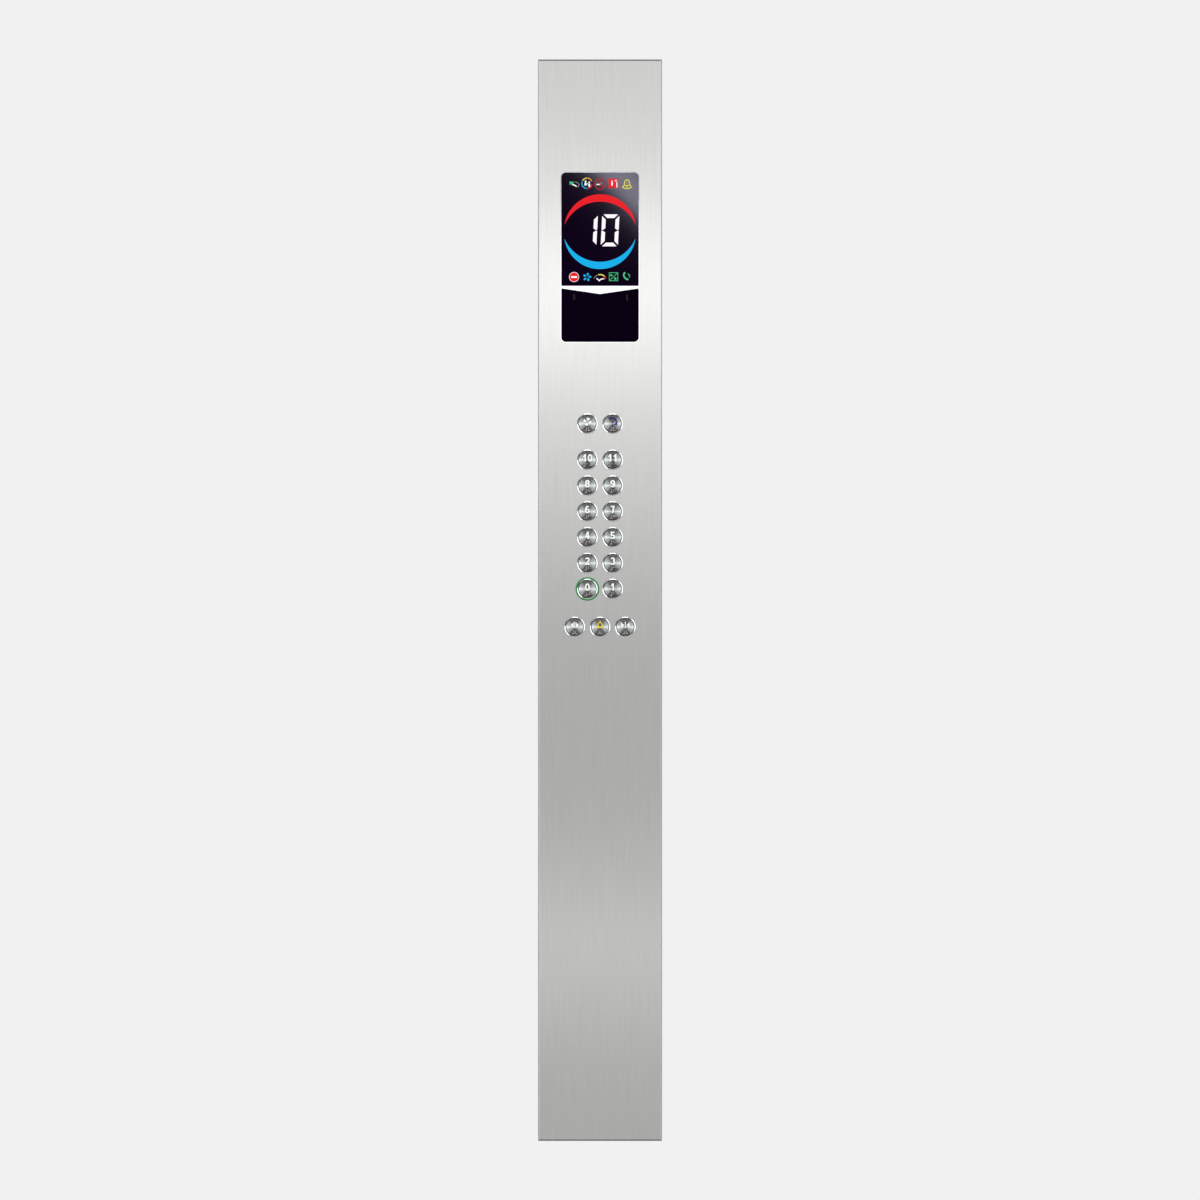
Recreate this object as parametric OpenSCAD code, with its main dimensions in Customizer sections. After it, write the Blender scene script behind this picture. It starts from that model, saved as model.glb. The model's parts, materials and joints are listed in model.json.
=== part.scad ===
// Elevator car operating panel: a folded stainless faceplate that swings on three
// pin hinges in front of a shallow box let into the car wall.
// Frame: +X right as the passenger sees it, the passenger stands at -Y, +Z up.
// The origin is the centre of the wall screw pattern, on the wall's face.

/* [Faceplate] */
// Width of the faceplate
panel_w = 240; // [228:1:300]
// Height of the faceplate
panel_h = 2094; // [2060:1:2600]
// Sheet thickness of the faceplate
plate_t = 1.5; // [1:0.1:2]
// Distance of the front face from the wall
plate_rise = 16; // [15:0.5:20]
// Gap between the folded returns and the wall
shadow_gap = 4; // [3:0.5:5]
// Outside radius of the folds
fold_r = 3; // [2.5:0.1:4]

/* [Display window] */
// Width of the dark lenses
window_w = 150; // [110:1:150]
// Height of both lenses with the divider
window_h = 328; // [280:1:340]
// Height of the window's centre above the panel's centre
window_z = 664; // [640:1:680]
// Corner radius of the lenses
window_r = 9; // [5:0.5:14]
// Thickness of the lenses
lens_t = 2.4; // [2:0.1:3]
// Top edge of the chevron divider, below the window's centre
chevron_drop = 55.5; // [40:0.5:80]
// Thickness of the chevron at its two ends
chevron_end = 4.7; // [3:0.1:8]
// Thickness of the chevron at its tip
chevron_tip = 15.7; // [10:0.1:20]

/* [Buttons] */
// Distance between neighbours in a row
pitch_x = 49; // [46:0.5:60]
// Distance between two rows of floor buttons
pitch_z = 50; // [46:0.5:54]
// Rows of floor buttons, two in each
floor_rows = 6; // [1:1:6]
// Height of the lowest floor row above the panel's centre
floor_z = 21.7; // [15:0.1:40]
// Distance of the fan and call row above the highest floor row
service_step = 70; // [50:1:75]
// Distance of the door and alarm row below the lowest floor row
door_step = 73.6; // [50:0.1:90]
// Diameter of a button cap
cap_d = 33.4; // [27:0.1:34]
// Radial gap between a cap and its bezel, where the soft seal sits
cap_gap = 0.95; // [0.8:0.05:1.1]
// Width of the bright bezel round a cap
bezel_ring = 2.1; // [1.8:0.1:2.6]
// Height of the bezel in front of the faceplate
bezel_proud = 2.2; // [1.5:0.1:3]
// Slope of the bezel's bright face, in degrees
bezel_slope = 31; // [20:1:32]
// Travel of a button
travel = 2; // [1:0.1:2.5]
// Diameter of the guide stem under a cap
stem_d = 8; // [6:0.5:10]
// Width of the green ring round the exit floor's button
collar_ring = 3; // [2:0.1:3.2]

/* [Back box] */
// Width of the flange round the box
flange_w = 20; // [18:0.5:22]
// Distance of the flange's edge inside the faceplate's edge
flange_inset = 12; // [12:0.5:14]
// Depth of the box behind the wall's face
box_d = 60; // [56:1:90]
// Sheet thickness of the box
box_t = 1.5; // [1.2:0.1:2]

/* [Wall fixing] */
// Diameter of the wall screw holes
wall_hole_d = 5.5; // [4.5:0.1:6.5]
// Distance of the end holes from the faceplate's ends
wall_end = 47; // [40:1:60]
// Distance between the two middle pairs of holes
wall_mid = 680; // [500:10:800]

/* [Hinges] */
// Distance of the hinge axis from the faceplate's left edge
axis_inset = 6; // [6:0.1:6.5]
// Distance of the hinge axis in front of the wall
axis_rise = 8; // [8:0.1:8.5]
// Diameter of the hinge pins
pin_d = 4; // [3:0.1:5]
// Diameter of the hinge knuckles
knuckle_d = 8; // [7.5:0.1:8.2]
// Length of one hinge
hinge_len = 60; // [50:1:80]
// Distance of the outer hinges from the faceplate's ends
hinge_end = 167; // [150:1:190]
// Thickness of the hinge leaves
leaf_t = 1.5; // [1.2:0.1:2]

/* [Locks] */
// Distance of the two locks from the faceplate's ends
lock_end = 122; // [110:1:135]
// Diameter of the lock spindles
spindle_d = 5; // [4:0.1:6]
// Distance of the keeper pin from the spindle's axis, straight into the box
keeper_reach = 13.5; // [12:0.1:16]
// Distance of the keeper pin above the spindle's axis
keeper_offset = 5; // [4.5:0.1:6]
// Diameter of the keeper pins
keeper_d = 3; // [2.5:0.1:4]

/* [Electronics] */
// Height of the control board
board_h = 300; // [200:5:380]
// Centre of the control board below the panel's centre
board_drop = 330; // [300:5:420]
// Bore of the cable gland in the top of the box
gland_bore = 20; // [12:0.5:22]

/* [Hidden] */
$fn = 64;

// Colours, as linear tints of the materials
STAINLESS = [0.78, 0.78, 0.76];
BRIGHT = [0.88, 0.88, 0.90];
ZINC = [0.66, 0.68, 0.70];
BLACK = [0.05, 0.05, 0.06];
CIRCUIT = [0.05, 0.32, 0.16];
GREEN = [0.08, 0.55, 0.29];

// Clearances
fit = 0.03;             // a pin that turns in its hole, on the radius
loose = 0.1;            // a screw, stud or neck in its hole, on the radius
seat_gap = 0.3;         // a lens or a buffer beside what it meets
frame_gap = 0.2;        // the lens frame in the faceplate's window
air = 0.7;              // pieces that pass each other

// Planes of the faceplate along Y
face_y = -plate_rise;
back_y = face_y + plate_t;
edge_x = panel_w / 2;
edge_z = panel_h / 2;

// Back box
flange_x = edge_x - flange_inset;
end_inset = flange_inset - 1;
flange_z = edge_z - end_inset;
box_x = flange_x - flange_w;
box_z = flange_z - flange_w;
floor_y = box_d - box_t;
roof_z = box_z - box_t;
wall_x = box_x - box_t;
hole_x = flange_x - flange_w / 2;
hole_z = edge_z - wall_end;
box_fold_r = box_t + 2;
weld_gap = 0.3;

// Buttons: places of the caps' centres, and their names
top_row_z = floor_z + (floor_rows - 1) * pitch_z;
FLOORS = [for (n = [0:2 * floor_rows - 1]) [(n % 2 - 0.5) * pitch_x, floor_z + floor(n / 2) * pitch_z]];
SERVICE = [for (s = [-0.5, 0.5]) [s * pitch_x, top_row_z + service_step]];
DOORS = [for (s = [-1:1]) [s * pitch_x, floor_z - door_step]];
BUTTONS = concat(FLOORS, SERVICE, DOORS);
FLOOR_CAPS = [for (n = [0:2 * floor_rows - 1]) str("cap_floor_", n)];
CAPS = concat(FLOOR_CAPS, ["cap_fan", "cap_call", "cap_door_open", "cap_alarm", "cap_door_close"]);
exit_floor = 0;

// Button profile, measured along Y from the faceplate's front, positive inwards
bezel_bore_r = cap_d / 2 + cap_gap;
bezel_r = bezel_bore_r + bezel_ring;
bezel_lip = 1.1;        // the bezel overlaps its hole by this much
bezel_edge_r = 0.4;     // rounding of the bezel's inner edge
neck_r = bezel_r - bezel_lip;
neck_len = 8;
nut_from = plate_t;
nut_to = nut_from + 4;
nut_r = neck_r + 3.4;
cap_sunk = 0.8;         // the cap's face lies this far below the bezel's highest edge
cap_top = cap_sunk - bezel_proud;
cap_plate = 3.4;
cap_chamfer = 0.5;
stem_end = 13.4;
housing_r = neck_r + 1.35;
housing_from = nut_to + air;
housing_floor = neck_len + 3;
housing_end = 28;
housing_side = 30;
stem_bore_end = stem_end + travel + air;
switch_board_side = 33;
plug_len = 7;

// Lens frame, measured along Y from the faceplate's front
lip = 1.3;              // width of the frame seen round the lenses
lip_proud = 0.8;
ledge = 4;              // width of the ledge that the lenses lie on
lens_set = 0.2;         // the lenses lie this far below the lip
frame_rim = 5.3;        // the flange stands out this far beyond the neck at the sides
frame_ear = 15.7;       // and this far at the top and bottom
frame_deep = 5;
frame_w = window_w + 2 * lip;
frame_h = window_h + 2 * lip;
frame_flange_w = frame_w + 2 * frame_rim;
frame_flange_h = frame_h + 2 * frame_ear;
frame_stud_z = frame_h / 2 + frame_ear / 2;
FRAME_STUDS = [for (x = [-1:1], z = [-1, 1]) [x * 0.4 * window_w, window_z + z * frame_stud_z]];
chevron_top = window_z - chevron_drop;
lens_front = face_y - lip_proud + lens_set;
lens_back = lens_front + lens_t;

// Modules behind the lenses
board_t = 1.6;
post_hole_r = 1.6;
spacer_x = window_w / 2 - 1.6;
spacer_d = 4.6;
spacer_from = face_y + frame_deep;
display_y = face_y + 24;
card_y = face_y + 14;
upper_mid_z = (window_z + window_h / 2 + chevron_top) / 2;
upper_h = window_z + window_h / 2 - chevron_top;
lower_h = window_h - upper_h;
lower_mid_z = window_z - window_h / 2 + (lower_h - chevron_tip) / 2;
display_post_z = upper_h / 2 - 14;
card_post_z = lower_h / 2 - 14;
DISPLAY_POSTS = [for (x = [-1, 1], z = [-1, 1]) [x * spacer_x, upper_mid_z + z * display_post_z]];
CARD_POSTS = [for (x = [-1, 1], z = [-1, 1]) [x * spacer_x, lower_mid_z + z * card_post_z]];

// Hinges
axis_x = -edge_x + axis_inset;
axis_y = -axis_rise;
hinge_z = edge_z - hinge_end;
HINGES = [-hinge_z, 0, hinge_z];
middle_knuckle = hinge_len * 0.4;
knuckle_gap = 0.5;
riser_x = axis_x + 8.5;
leaf_end_x = riser_x + 15.5;
leaf_screw_x = riser_x + 9.5;
leaf_screw_z = hinge_len / 2 - 10;
panel_leaf_end_x = axis_x + 20;
panel_stud_x = axis_x + 14;
panel_leaf_h = middle_knuckle + 30;
panel_stud_z = panel_leaf_h / 2 - 8;
HINGE_STUDS = [for (z = HINGES, s = [-1, 1]) [panel_stud_x, z + s * panel_stud_z]];

// Locks
lock_z = edge_z - lock_end;
LOCKS = [-lock_z, lock_z];
spindle_r = spindle_d / 2;
bush_r = spindle_r + 1;
lock_web = 1;           // metal left between the bush and the edge of the return
lock_y = -shadow_gap - bush_r - lock_web;
bracket_x = wall_x + 4;
claw_x = wall_x - 10.5;
claw_t = 3;
claw_arm = 5;
claw_hub_r = spindle_r + 2;
keeper_r = keeper_d / 2;
keeper_y = lock_y + keeper_reach;
hook_in_r = sqrt(pow(keeper_reach, 2) + pow(keeper_offset, 2)) + keeper_r + 0.4;
hook_out_r = hook_in_r + 3;
hook_angle = 25;
bracket_foot = 14;
bracket_stud_z = 14;
bracket_stud_x = bracket_x + leaf_t + bracket_foot / 2;
LOCK_STUDS = [for (z = LOCKS, s = [-1, 1]) [bracket_stud_x, z + s * bracket_stud_z]];

// Fasteners: one size of stud and nut on the faceplate, one size of screw in the box
stud_r = 2;
stud_len = 8;
stud_base_r = stud_r + 0.6;
stud_base_t = 0.3;
nut_af = 7;
m4_nut_t = 3.2;
screw_r = 2;
screw_head_r = 3.6;
screw_head_t = 2.4;
washer_plane = leaf_t;

// Box fittings
gland_y = box_d / 2;
gland_r = gland_bore / 2;
gland_body_r = gland_r + 2.5;
gland_plate_w = 100;
gland_plate_d = 50;
gland_plate_t = 2;
gland_cut_w = 64;
gland_cut_d = 38;
gland_screw_x = 42;
board_w = 2 * wall_x - 33;
board_stand = 7;
board_y = floor_y - board_stand - board_t;
BOARD_POSTS = [for (x = [-1, 1], z = [-1, 1]) [x * (board_w / 2 - 6), -board_drop + z * (board_h / 2 - 6)]];
rail_z = (top_row_z + service_step + window_z - frame_flange_h / 2) / 2;
rail_w = 2 * wall_x - 13;
rail_depth = 7.5;
rail_t = 1;
RAIL_SCREWS = [for (x = [-1, 1]) [x * (rail_w / 2 - 10), rail_z]];
terminal_pitch = 6;
terminals = 16;
earth_r = 3;
earth_x = 25 - wall_x;
earth_z = -board_drop - board_h / 2 - 60;
buffer_r = 6;
buffer_z = edge_z - 200;

// Solids drawn in the XZ, YZ or XY plane and given a thickness along the third axis
module along_y(y0, y1) {
    translate([0, y1, 0]) rotate([90, 0, 0]) linear_extrude(y1 - y0) children();
}

module along_x(x0, x1) {
    translate([x0, 0, 0]) rotate([90, 0, 90]) linear_extrude(x1 - x0) children();
}

module along_z(z0, z1) {
    translate([0, 0, z0]) linear_extrude(z1 - z0) children();
}

// Turned solids: the profile is drawn as radius and distance along the axis
module turned_y() {
    rotate([-90, 0, 0]) rotate_extrude() children();
}

module turned_x() {
    rotate([0, 90, 0]) rotate_extrude() children();
}

module bar_y(r, y0, y1) {
    translate([0, y0, 0]) rotate([-90, 0, 0]) cylinder(r = r, h = y1 - y0);
}

module bar_x(r, x0, x1) {
    translate([x0, 0, 0]) rotate([0, 90, 0]) cylinder(r = r, h = x1 - x0);
}

module hex_y(af, y0, y1) {
    translate([0, y0, 0]) rotate([-90, 0, 0]) cylinder(r = af / sqrt(3), h = y1 - y0, $fn = 6);
}

// Puts a child at each [x, z] place of a list
module at_each(places) {
    for (p = places) translate([p[0], 0, p[1]]) children();
}

module rounded_rect(w, h, r) {
    square([w - 2 * r, h], center = true);
    square([w, h - 2 * r], center = true);
    for (x = [-1, 1], z = [-1, 1]) translate([x * (w / 2 - r), z * (h / 2 - r)]) circle(r = r);
}

// Section of a folded tray: open along y = 0, closed at y = -d with round folds
module tray_section(w, d, r) {
    translate([-w / 2, r - d]) square([w, d - r]);
    translate([r - w / 2, -d]) square([w - 2 * r, d]);
    for (s = [-1, 1]) translate([s * (w / 2 - r), r - d]) circle(r = r);
}

module tray_block(w, h, d, r) {
    intersection() {
        along_z(-h / 2, h / 2) tray_section(w, d, r);
        rotate([0, 90, 0]) linear_extrude(w + 2, center = true) tray_section(h, d, r);
    }
}

// Sheet of thickness t folded on all four sides, with mitred corners
module folded_tray(w, h, d, t, r) {
    difference() {
        tray_block(w, h, d, r);
        translate([0, 1, 0]) tray_block(w - 2 * t, h - 2 * t, d - t + 1, r - t);
    }
}

// Faceplate

module window_shape(w, h, r) {
    translate([0, window_z]) rounded_rect(w, h, r);
}

module faceplate() {
    fold_deep = plate_rise - shadow_gap;
    color(STAINLESS) difference() {
        translate([0, -shadow_gap, 0]) folded_tray(panel_w, panel_h, fold_deep, plate_t, fold_r);
        along_y(face_y - 1, back_y + 1)
            window_shape(frame_w + 2 * frame_gap, frame_h + 2 * frame_gap, window_r + lip + frame_gap);
        at_each(BUTTONS) bar_y(neck_r + loose, face_y - 1, back_y + 1);
        for (z = LOCKS) translate([0, lock_y, z]) bar_x(bush_r + fit, edge_x - plate_t - 1, edge_x + 1);
    }
}

// Studs welded to the faceplate's back, and the nuts on them
module weld_studs() {
    color(BRIGHT) at_each(concat(FRAME_STUDS, HINGE_STUDS, LOCK_STUDS)) {
        bar_y(stud_r, back_y, back_y + stud_len);
        bar_y(stud_base_r, back_y, back_y + stud_base_t);
    }
}

module stud_nuts() {
    color(ZINC) at_each(concat(FRAME_STUDS, HINGE_STUDS, LOCK_STUDS)) difference() {
        hex_y(nut_af, back_y + washer_plane, back_y + washer_plane + m4_nut_t);
        bar_y(stud_r + fit, back_y, back_y + stud_len);
    }
}

// Top-hat channels spot welded behind the bare parts of the faceplate
module hat_section() {
    hat_t = 1.2;
    crown = 60;
    brim = 14;
    deep = 14;
    difference() {
        translate([-crown / 2, back_y]) square([crown, deep]);
        translate([hat_t - crown / 2, back_y - 1]) square([crown - 2 * hat_t, deep - hat_t + 1]);
    }
    for (s = [-1, 1]) translate([s * (crown + brim - hat_t) / 2, back_y + hat_t / 2])
        square([brim + hat_t, hat_t], center = true);
}

module stiffener_channels() {
    color(ZINC) {
        along_z(60 - edge_z, floor_z - door_step - 60) hat_section();
        along_z(window_z + frame_flange_h / 2 + 20, edge_z - 60) hat_section();
    }
}

// Display window

module lens_frame() {
    rim_from = back_y;
    rim_to = back_y + washer_plane;
    color(BRIGHT) difference() {
        union() {
            along_y(face_y - lip_proud, face_y + frame_deep) window_shape(frame_w, frame_h, window_r + lip);
            along_y(rim_from, rim_to) window_shape(frame_flange_w, frame_flange_h, window_r + lip);
        }
        along_y(face_y - lip_proud - 1, lens_back)
            window_shape(window_w + 2 * frame_gap, window_h + 2 * frame_gap, window_r + frame_gap);
        along_y(face_y - lip_proud - 1, face_y + frame_deep + 1)
            window_shape(window_w - 2 * ledge, window_h - 2 * ledge, window_r - ledge / 2);
        at_each(FRAME_STUDS) bar_y(stud_base_r + loose, rim_from - 1, rim_to + 1);
    }
}

// The divider's outline; grow makes the gap that the lenses leave round it
module chevron_shape(half, grow) {
    slope = (chevron_tip - chevron_end) / (window_w / 2);
    end_drop = chevron_tip - slope * half;
    polygon([
        [-half, chevron_top + grow],
        [half, chevron_top + grow],
        [half, chevron_top - end_drop - grow],
        [0, chevron_top - chevron_tip - grow],
        [-half, chevron_top - end_drop - grow]
    ]);
}

module upper_lens() {
    color(BLACK) along_y(lens_front, lens_back) intersection() {
        window_shape(window_w, window_h, window_r);
        translate([-window_w, chevron_top + frame_gap]) square([2 * window_w, window_h]);
    }
}

module lower_lens() {
    color(BLACK) along_y(lens_front, lens_back) difference() {
        window_shape(window_w, window_h, window_r);
        chevron_shape(window_w, frame_gap);
        translate([-window_w, chevron_top - frame_gap]) square([2 * window_w, window_h]);
    }
}

// White bar between the lenses: its face overlaps the lip on both sides
module chevron_strip() {
    face_half = window_w / 2 + 0.7;
    proud = 0.5;
    color("white") {
        along_y(lens_front, lens_back) chevron_shape(window_w / 2, 0);
        along_y(face_y - lip_proud - proud, face_y - lip_proud) chevron_shape(face_half, 0);
        along_y(face_y - lip_proud, lens_front) chevron_shape(window_w / 2, 0);
    }
}

// Modules behind the lenses

// Round spacer tapped from the back
module post(y0, y1) {
    difference() {
        bar_y(spacer_d / 2, y0, y1);
        bar_y(1.25, y1 - 5, y1 + 1);
    }
}

module module_spacers() {
    color(ZINC) {
        at_each(DISPLAY_POSTS) post(spacer_from, display_y);
        at_each(CARD_POSTS) post(spacer_from, card_y);
    }
}

// A board of the child's outline with round holes
module circuit_sheet(y0, t, holes, hole_r) {
    difference() {
        along_y(y0, y0 + t) children();
        at_each(holes) bar_y(hole_r, y0 - 1, y0 + t + 1);
    }
}

module display_board() {
    w = 2 * spacer_x + 6;
    h = 2 * display_post_z + 12;
    color(CIRCUIT) circuit_sheet(display_y, board_t, DISPLAY_POSTS, post_hole_r)
        translate([0, upper_mid_z]) rounded_rect(w, h, 2);
}

// Tray with one cell for each digit, icon row and ring segment
module display_light_box() {
    w = window_w - 2 * ledge - 8;
    h = upper_h - 2 * ledge - 14;
    y0 = lens_back + 1.2;
    wall = 1.6;
    icon_row_h = 16;
    icon_z = h / 2 - icon_row_h / 2 - wall;
    ring_r = w / 2 - 4;
    color("whitesmoke") difference() {
        along_y(y0, display_y) translate([0, upper_mid_z]) rounded_rect(w, h, 4);
        for (s = [-1, 1], i = [-2:2])
            translate([i * (w - 2 * wall) / 5, 0, upper_mid_z + s * icon_z])
                along_y(y0 - 1, display_y - 4) rounded_rect((w - 2 * wall) / 5 - wall, icon_row_h, 2);
        translate([0, 0, upper_mid_z]) along_y(y0 - 1, display_y - 4) difference() {
            circle(r = ring_r);
            circle(r = ring_r - 9);
            square([2 * w, 14], center = true);
        }
        for (x = [-1, 0, 1]) translate([x * 25, 0, upper_mid_z])
            along_y(y0 - 1, display_y - 4) rounded_rect(22, 56, 2);
    }
}

// A pin header seen as a shrouded block with its contacts
module header(w, h, y0, deep) {
    wall = 1;
    difference() {
        along_y(y0, y0 + deep) square([w, h], center = true);
        along_y(y0 + 2, y0 + deep + 1) square([w - 2 * wall, h - 2 * wall], center = true);
    }
    pins = floor((w - 3) / 2.5);
    for (i = [0:pins - 1]) translate([(i - (pins - 1) / 2) * 2.5, 0, 0])
        along_y(y0 + 1, y0 + deep - 1) square([0.7, 0.7], center = true);
}

module card_reader_board() {
    w = 2 * spacer_x + 6;
    h = 2 * card_post_z + 12;
    color(CIRCUIT) circuit_sheet(card_y, board_t, CARD_POSTS, post_hole_r)
        translate([0, lower_mid_z]) rounded_rect(w, h, 2);
}

// Push buttons

// Bezel: rounded inner edge, bright face sloping out to the rim, neck through the faceplate's hole
module button_bezels() {
    edge_mid = [bezel_bore_r + bezel_edge_r, bezel_edge_r - bezel_proud];
    slope_from = edge_mid + bezel_edge_r * [sin(bezel_slope), -cos(bezel_slope)];
    rim_y = slope_from[1] + (bezel_r - slope_from[0]) * tan(bezel_slope);
    color(BRIGHT) at_each(BUTTONS) translate([0, face_y, 0]) turned_y() {
        translate(edge_mid) circle(r = bezel_edge_r);
        polygon([
            [bezel_bore_r, edge_mid[1]],
            slope_from,
            [bezel_r, rim_y],
            [bezel_r, 0],
            [neck_r, 0],
            [neck_r, neck_len],
            [bezel_bore_r, neck_len]
        ]);
    }
}

// Ring nut with six spanner notches
module button_nuts() {
    color(ZINC) at_each(BUTTONS) translate([0, face_y, 0]) difference() {
        bar_y(nut_r, nut_from, nut_to);
        bar_y(neck_r, nut_from - 1, nut_to + 1);
        for (a = [0:60:300]) rotate([0, a, 0]) translate([nut_r, 0, 0])
            along_y(nut_from - 1, nut_to + 1) square([3, 4.5], center = true);
    }
}

// Cap: turned plate with a chamfered edge, a guide stem and four stop lugs
module button_cap(place) {
    cap_r = cap_d / 2;
    plate_end = cap_top + cap_plate;
    lug_from = plate_end - 1;
    lug_to = housing_floor - travel - 0.4;
    color(STAINLESS) translate([place[0], face_y, place[1]]) {
        turned_y() {
            polygon([
                [0, cap_top],
                [cap_r - cap_chamfer, cap_top],
                [cap_r, cap_top + cap_chamfer],
                [cap_r, plate_end],
                [stem_d / 2, plate_end],
                [stem_d / 2, stem_end],
                [0, stem_end]
            ]);
        }
        for (a = [45:90:315]) rotate([0, a, 0]) translate([cap_r - 4, 0, 0])
            along_y(lug_from, lug_to) square([3, 6], center = true);
    }
}

// Housing: cup round the neck, blind guide for the stem, square switch case
module button_housings() {
    color(BLACK) at_each(BUTTONS) translate([0, face_y, 0]) difference() {
        union() {
            bar_y(housing_r, housing_from, housing_floor + 2);
            along_y(housing_floor + 1, housing_end) rounded_rect(housing_side, housing_side, 3);
        }
        bar_y(neck_r + fit, housing_from - 1, neck_len);
        bar_y(bezel_bore_r, neck_len - 1, housing_floor);
        bar_y(stem_d / 2 + fit, housing_floor - 1, stem_bore_end);
        for (s = [-1, 1]) translate([s * housing_side / 2, 0, 0])
            along_y(housing_floor + 5, housing_end - 4) square([3, 12], center = true);
    }
}

// Switch board and its plug on the back of each housing
module button_boards() {
    color(CIRCUIT) at_each(BUTTONS) translate([0, face_y, 0])
        along_y(housing_end, housing_end + board_t)
            rounded_rect(switch_board_side, switch_board_side, 2);
}

// Plug headers soldered to the switch boards, the display board and the card reader board
module plug_headers() {
    y0 = face_y + housing_end + board_t;
    color("ivory") {
        at_each(BUTTONS) translate([0, 0, 8]) header(12, 7, y0, plug_len);
        for (x = [-1, 1]) translate([x * 36, 0, upper_mid_z - 50]) header(24, 8, display_y + board_t, 8);
        translate([0, 0, lower_mid_z - 20]) header(16, 8, card_y + board_t, 8);
    }
}

module exit_collar() {
    color(GREEN) translate([BUTTONS[exit_floor][0], face_y, BUTTONS[exit_floor][1]]) difference() {
        bar_y(bezel_r + collar_ring, -1, 0);
        bar_y(bezel_r + loose, -2, 1);
    }
}

// Hinges

// Box leaf: two outer knuckles, a strap that steps back to a foot on the flange
module hinge_box_leaves() {
    knuckle_len = (hinge_len - middle_knuckle) / 2 - knuckle_gap;
    knuckle_z = (hinge_len - knuckle_len) / 2;
    foot_y = -box_t - leaf_t;
    color(ZINC) for (z = HINGES) translate([0, 0, z]) difference() {
        union() {
            for (s = [-1, 1]) translate([0, 0, s * knuckle_z]) linear_extrude(knuckle_len, center = true) {
                translate([axis_x, axis_y]) circle(d = knuckle_d);
                translate([axis_x, axis_y - leaf_t / 2]) square([riser_x - axis_x + leaf_t, leaf_t]);
            }
            linear_extrude(hinge_len, center = true) {
                translate([riser_x, axis_y - leaf_t / 2]) square([leaf_t, axis_rise - box_t + leaf_t / 2]);
                translate([riser_x, foot_y]) square([leaf_end_x - riser_x, leaf_t]);
            }
        }
        translate([axis_x, axis_y, 0]) cylinder(d = pin_d + 2 * fit, h = hinge_len + 2, center = true);
        for (s = [-1, 1]) translate([leaf_screw_x, 0, s * leaf_screw_z])
            bar_y(screw_r + loose, foot_y - 1, 0);
    }
}

// Panel leaf: the middle knuckle on a foot behind the faceplate
module hinge_panel_leaves() {
    color(ZINC) for (z = HINGES) translate([0, 0, z]) difference() {
        union() {
            linear_extrude(middle_knuckle - knuckle_gap, center = true) {
                translate([axis_x, axis_y]) circle(d = knuckle_d);
                translate([axis_x - leaf_t / 2, back_y]) square([leaf_t, axis_y - back_y]);
            }
            linear_extrude(panel_leaf_h, center = true)
                translate([axis_x - leaf_t / 2, back_y]) square([panel_leaf_end_x - axis_x, leaf_t]);
        }
        translate([axis_x, axis_y, 0]) cylinder(d = pin_d + 4 * fit, h = hinge_len + 2, center = true);
        for (s = [-1, 1]) translate([panel_stud_x, 0, s * panel_stud_z])
            bar_y(stud_base_r + loose, back_y - 1, back_y + leaf_t + 1);
    }
}

// Pin with a round head on top of each hinge
module hinge_pins() {
    color(BRIGHT) for (z = HINGES) translate([axis_x, axis_y, z]) {
        translate([0, 0, -hinge_len / 2 - 2]) cylinder(d = pin_d, h = hinge_len + 2);
        translate([0, 0, hinge_len / 2]) cylinder(d = pin_d + 2, h = 1.6);
    }
}

// Locks

// Bush set in the right return, flush outside, with a collar inside
module lock_bushes() {
    color("goldenrod") for (z = LOCKS) translate([edge_x, lock_y, z]) difference() {
        union() {
            bar_x(bush_r, -8, 0);
            bar_x(bush_r + 1, -plate_t - 1.5, -plate_t);
        }
        bar_x(spindle_r + fit, -9, 1);
    }
}

// Upright that carries the spindle's inner end
module lock_brackets() {
    upright = -shadow_gap - back_y - 1;
    tall = 40;
    color(ZINC) for (z = LOCKS) translate([0, 0, z]) difference() {
        union() {
            along_x(bracket_x, bracket_x + leaf_t)
                translate([back_y, -tall / 2]) square([upright, tall]);
            along_y(back_y, back_y + leaf_t)
                translate([bracket_x, -tall / 2]) square([bracket_foot + leaf_t, tall]);
        }
        translate([0, lock_y, 0]) bar_x(spindle_r + fit, bracket_x - 1, bracket_x + leaf_t + 1);
        for (s = [-1, 1]) translate([bracket_stud_x, 0, s * bracket_stud_z])
            bar_y(stud_base_r + loose, back_y - 1, back_y + leaf_t + 1);
    }
}

// Spindle with a hexagon socket in its outer end and a shoulder behind the bracket
module lock_spindle(z) {
    tip = edge_x - 0.5;
    socket_af = 3;
    color(BRIGHT) translate([0, lock_y, z]) difference() {
        union() {
            bar_x(spindle_r, claw_x, tip);
            bar_x(spindle_r + 1, bracket_x + leaf_t + 0.3, bracket_x + leaf_t + 2.3);
        }
        translate([tip - 7, 0, 0]) rotate([0, 90, 0]) cylinder(r = socket_af / sqrt(3), h = 8, $fn = 6);
    }
}

// Hooked claw on the spindle's inner end, hanging down when released
module lock_claw(z) {
    color(ZINC) translate([0, lock_y, z]) difference() {
        union() {
            along_x(claw_x, claw_x + claw_t) {
                circle(r = claw_hub_r);
                translate([-claw_arm / 2, -hook_out_r + 0.4]) square([claw_arm, hook_out_r - 0.4]);
                intersection() {
                    difference() {
                        circle(r = hook_out_r);
                        circle(r = hook_in_r);
                    }
                    reach = 2 * hook_out_r;
                    polygon([[0, 0], [0, -reach], [reach * sin(hook_angle), -reach * cos(hook_angle)]]);
                }
            }
            bar_x(claw_hub_r, claw_x + claw_t, claw_x + claw_t + 2);
        }
        bar_x(spindle_r, claw_x - 1, claw_x + claw_t + 3);
    }
}

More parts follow.
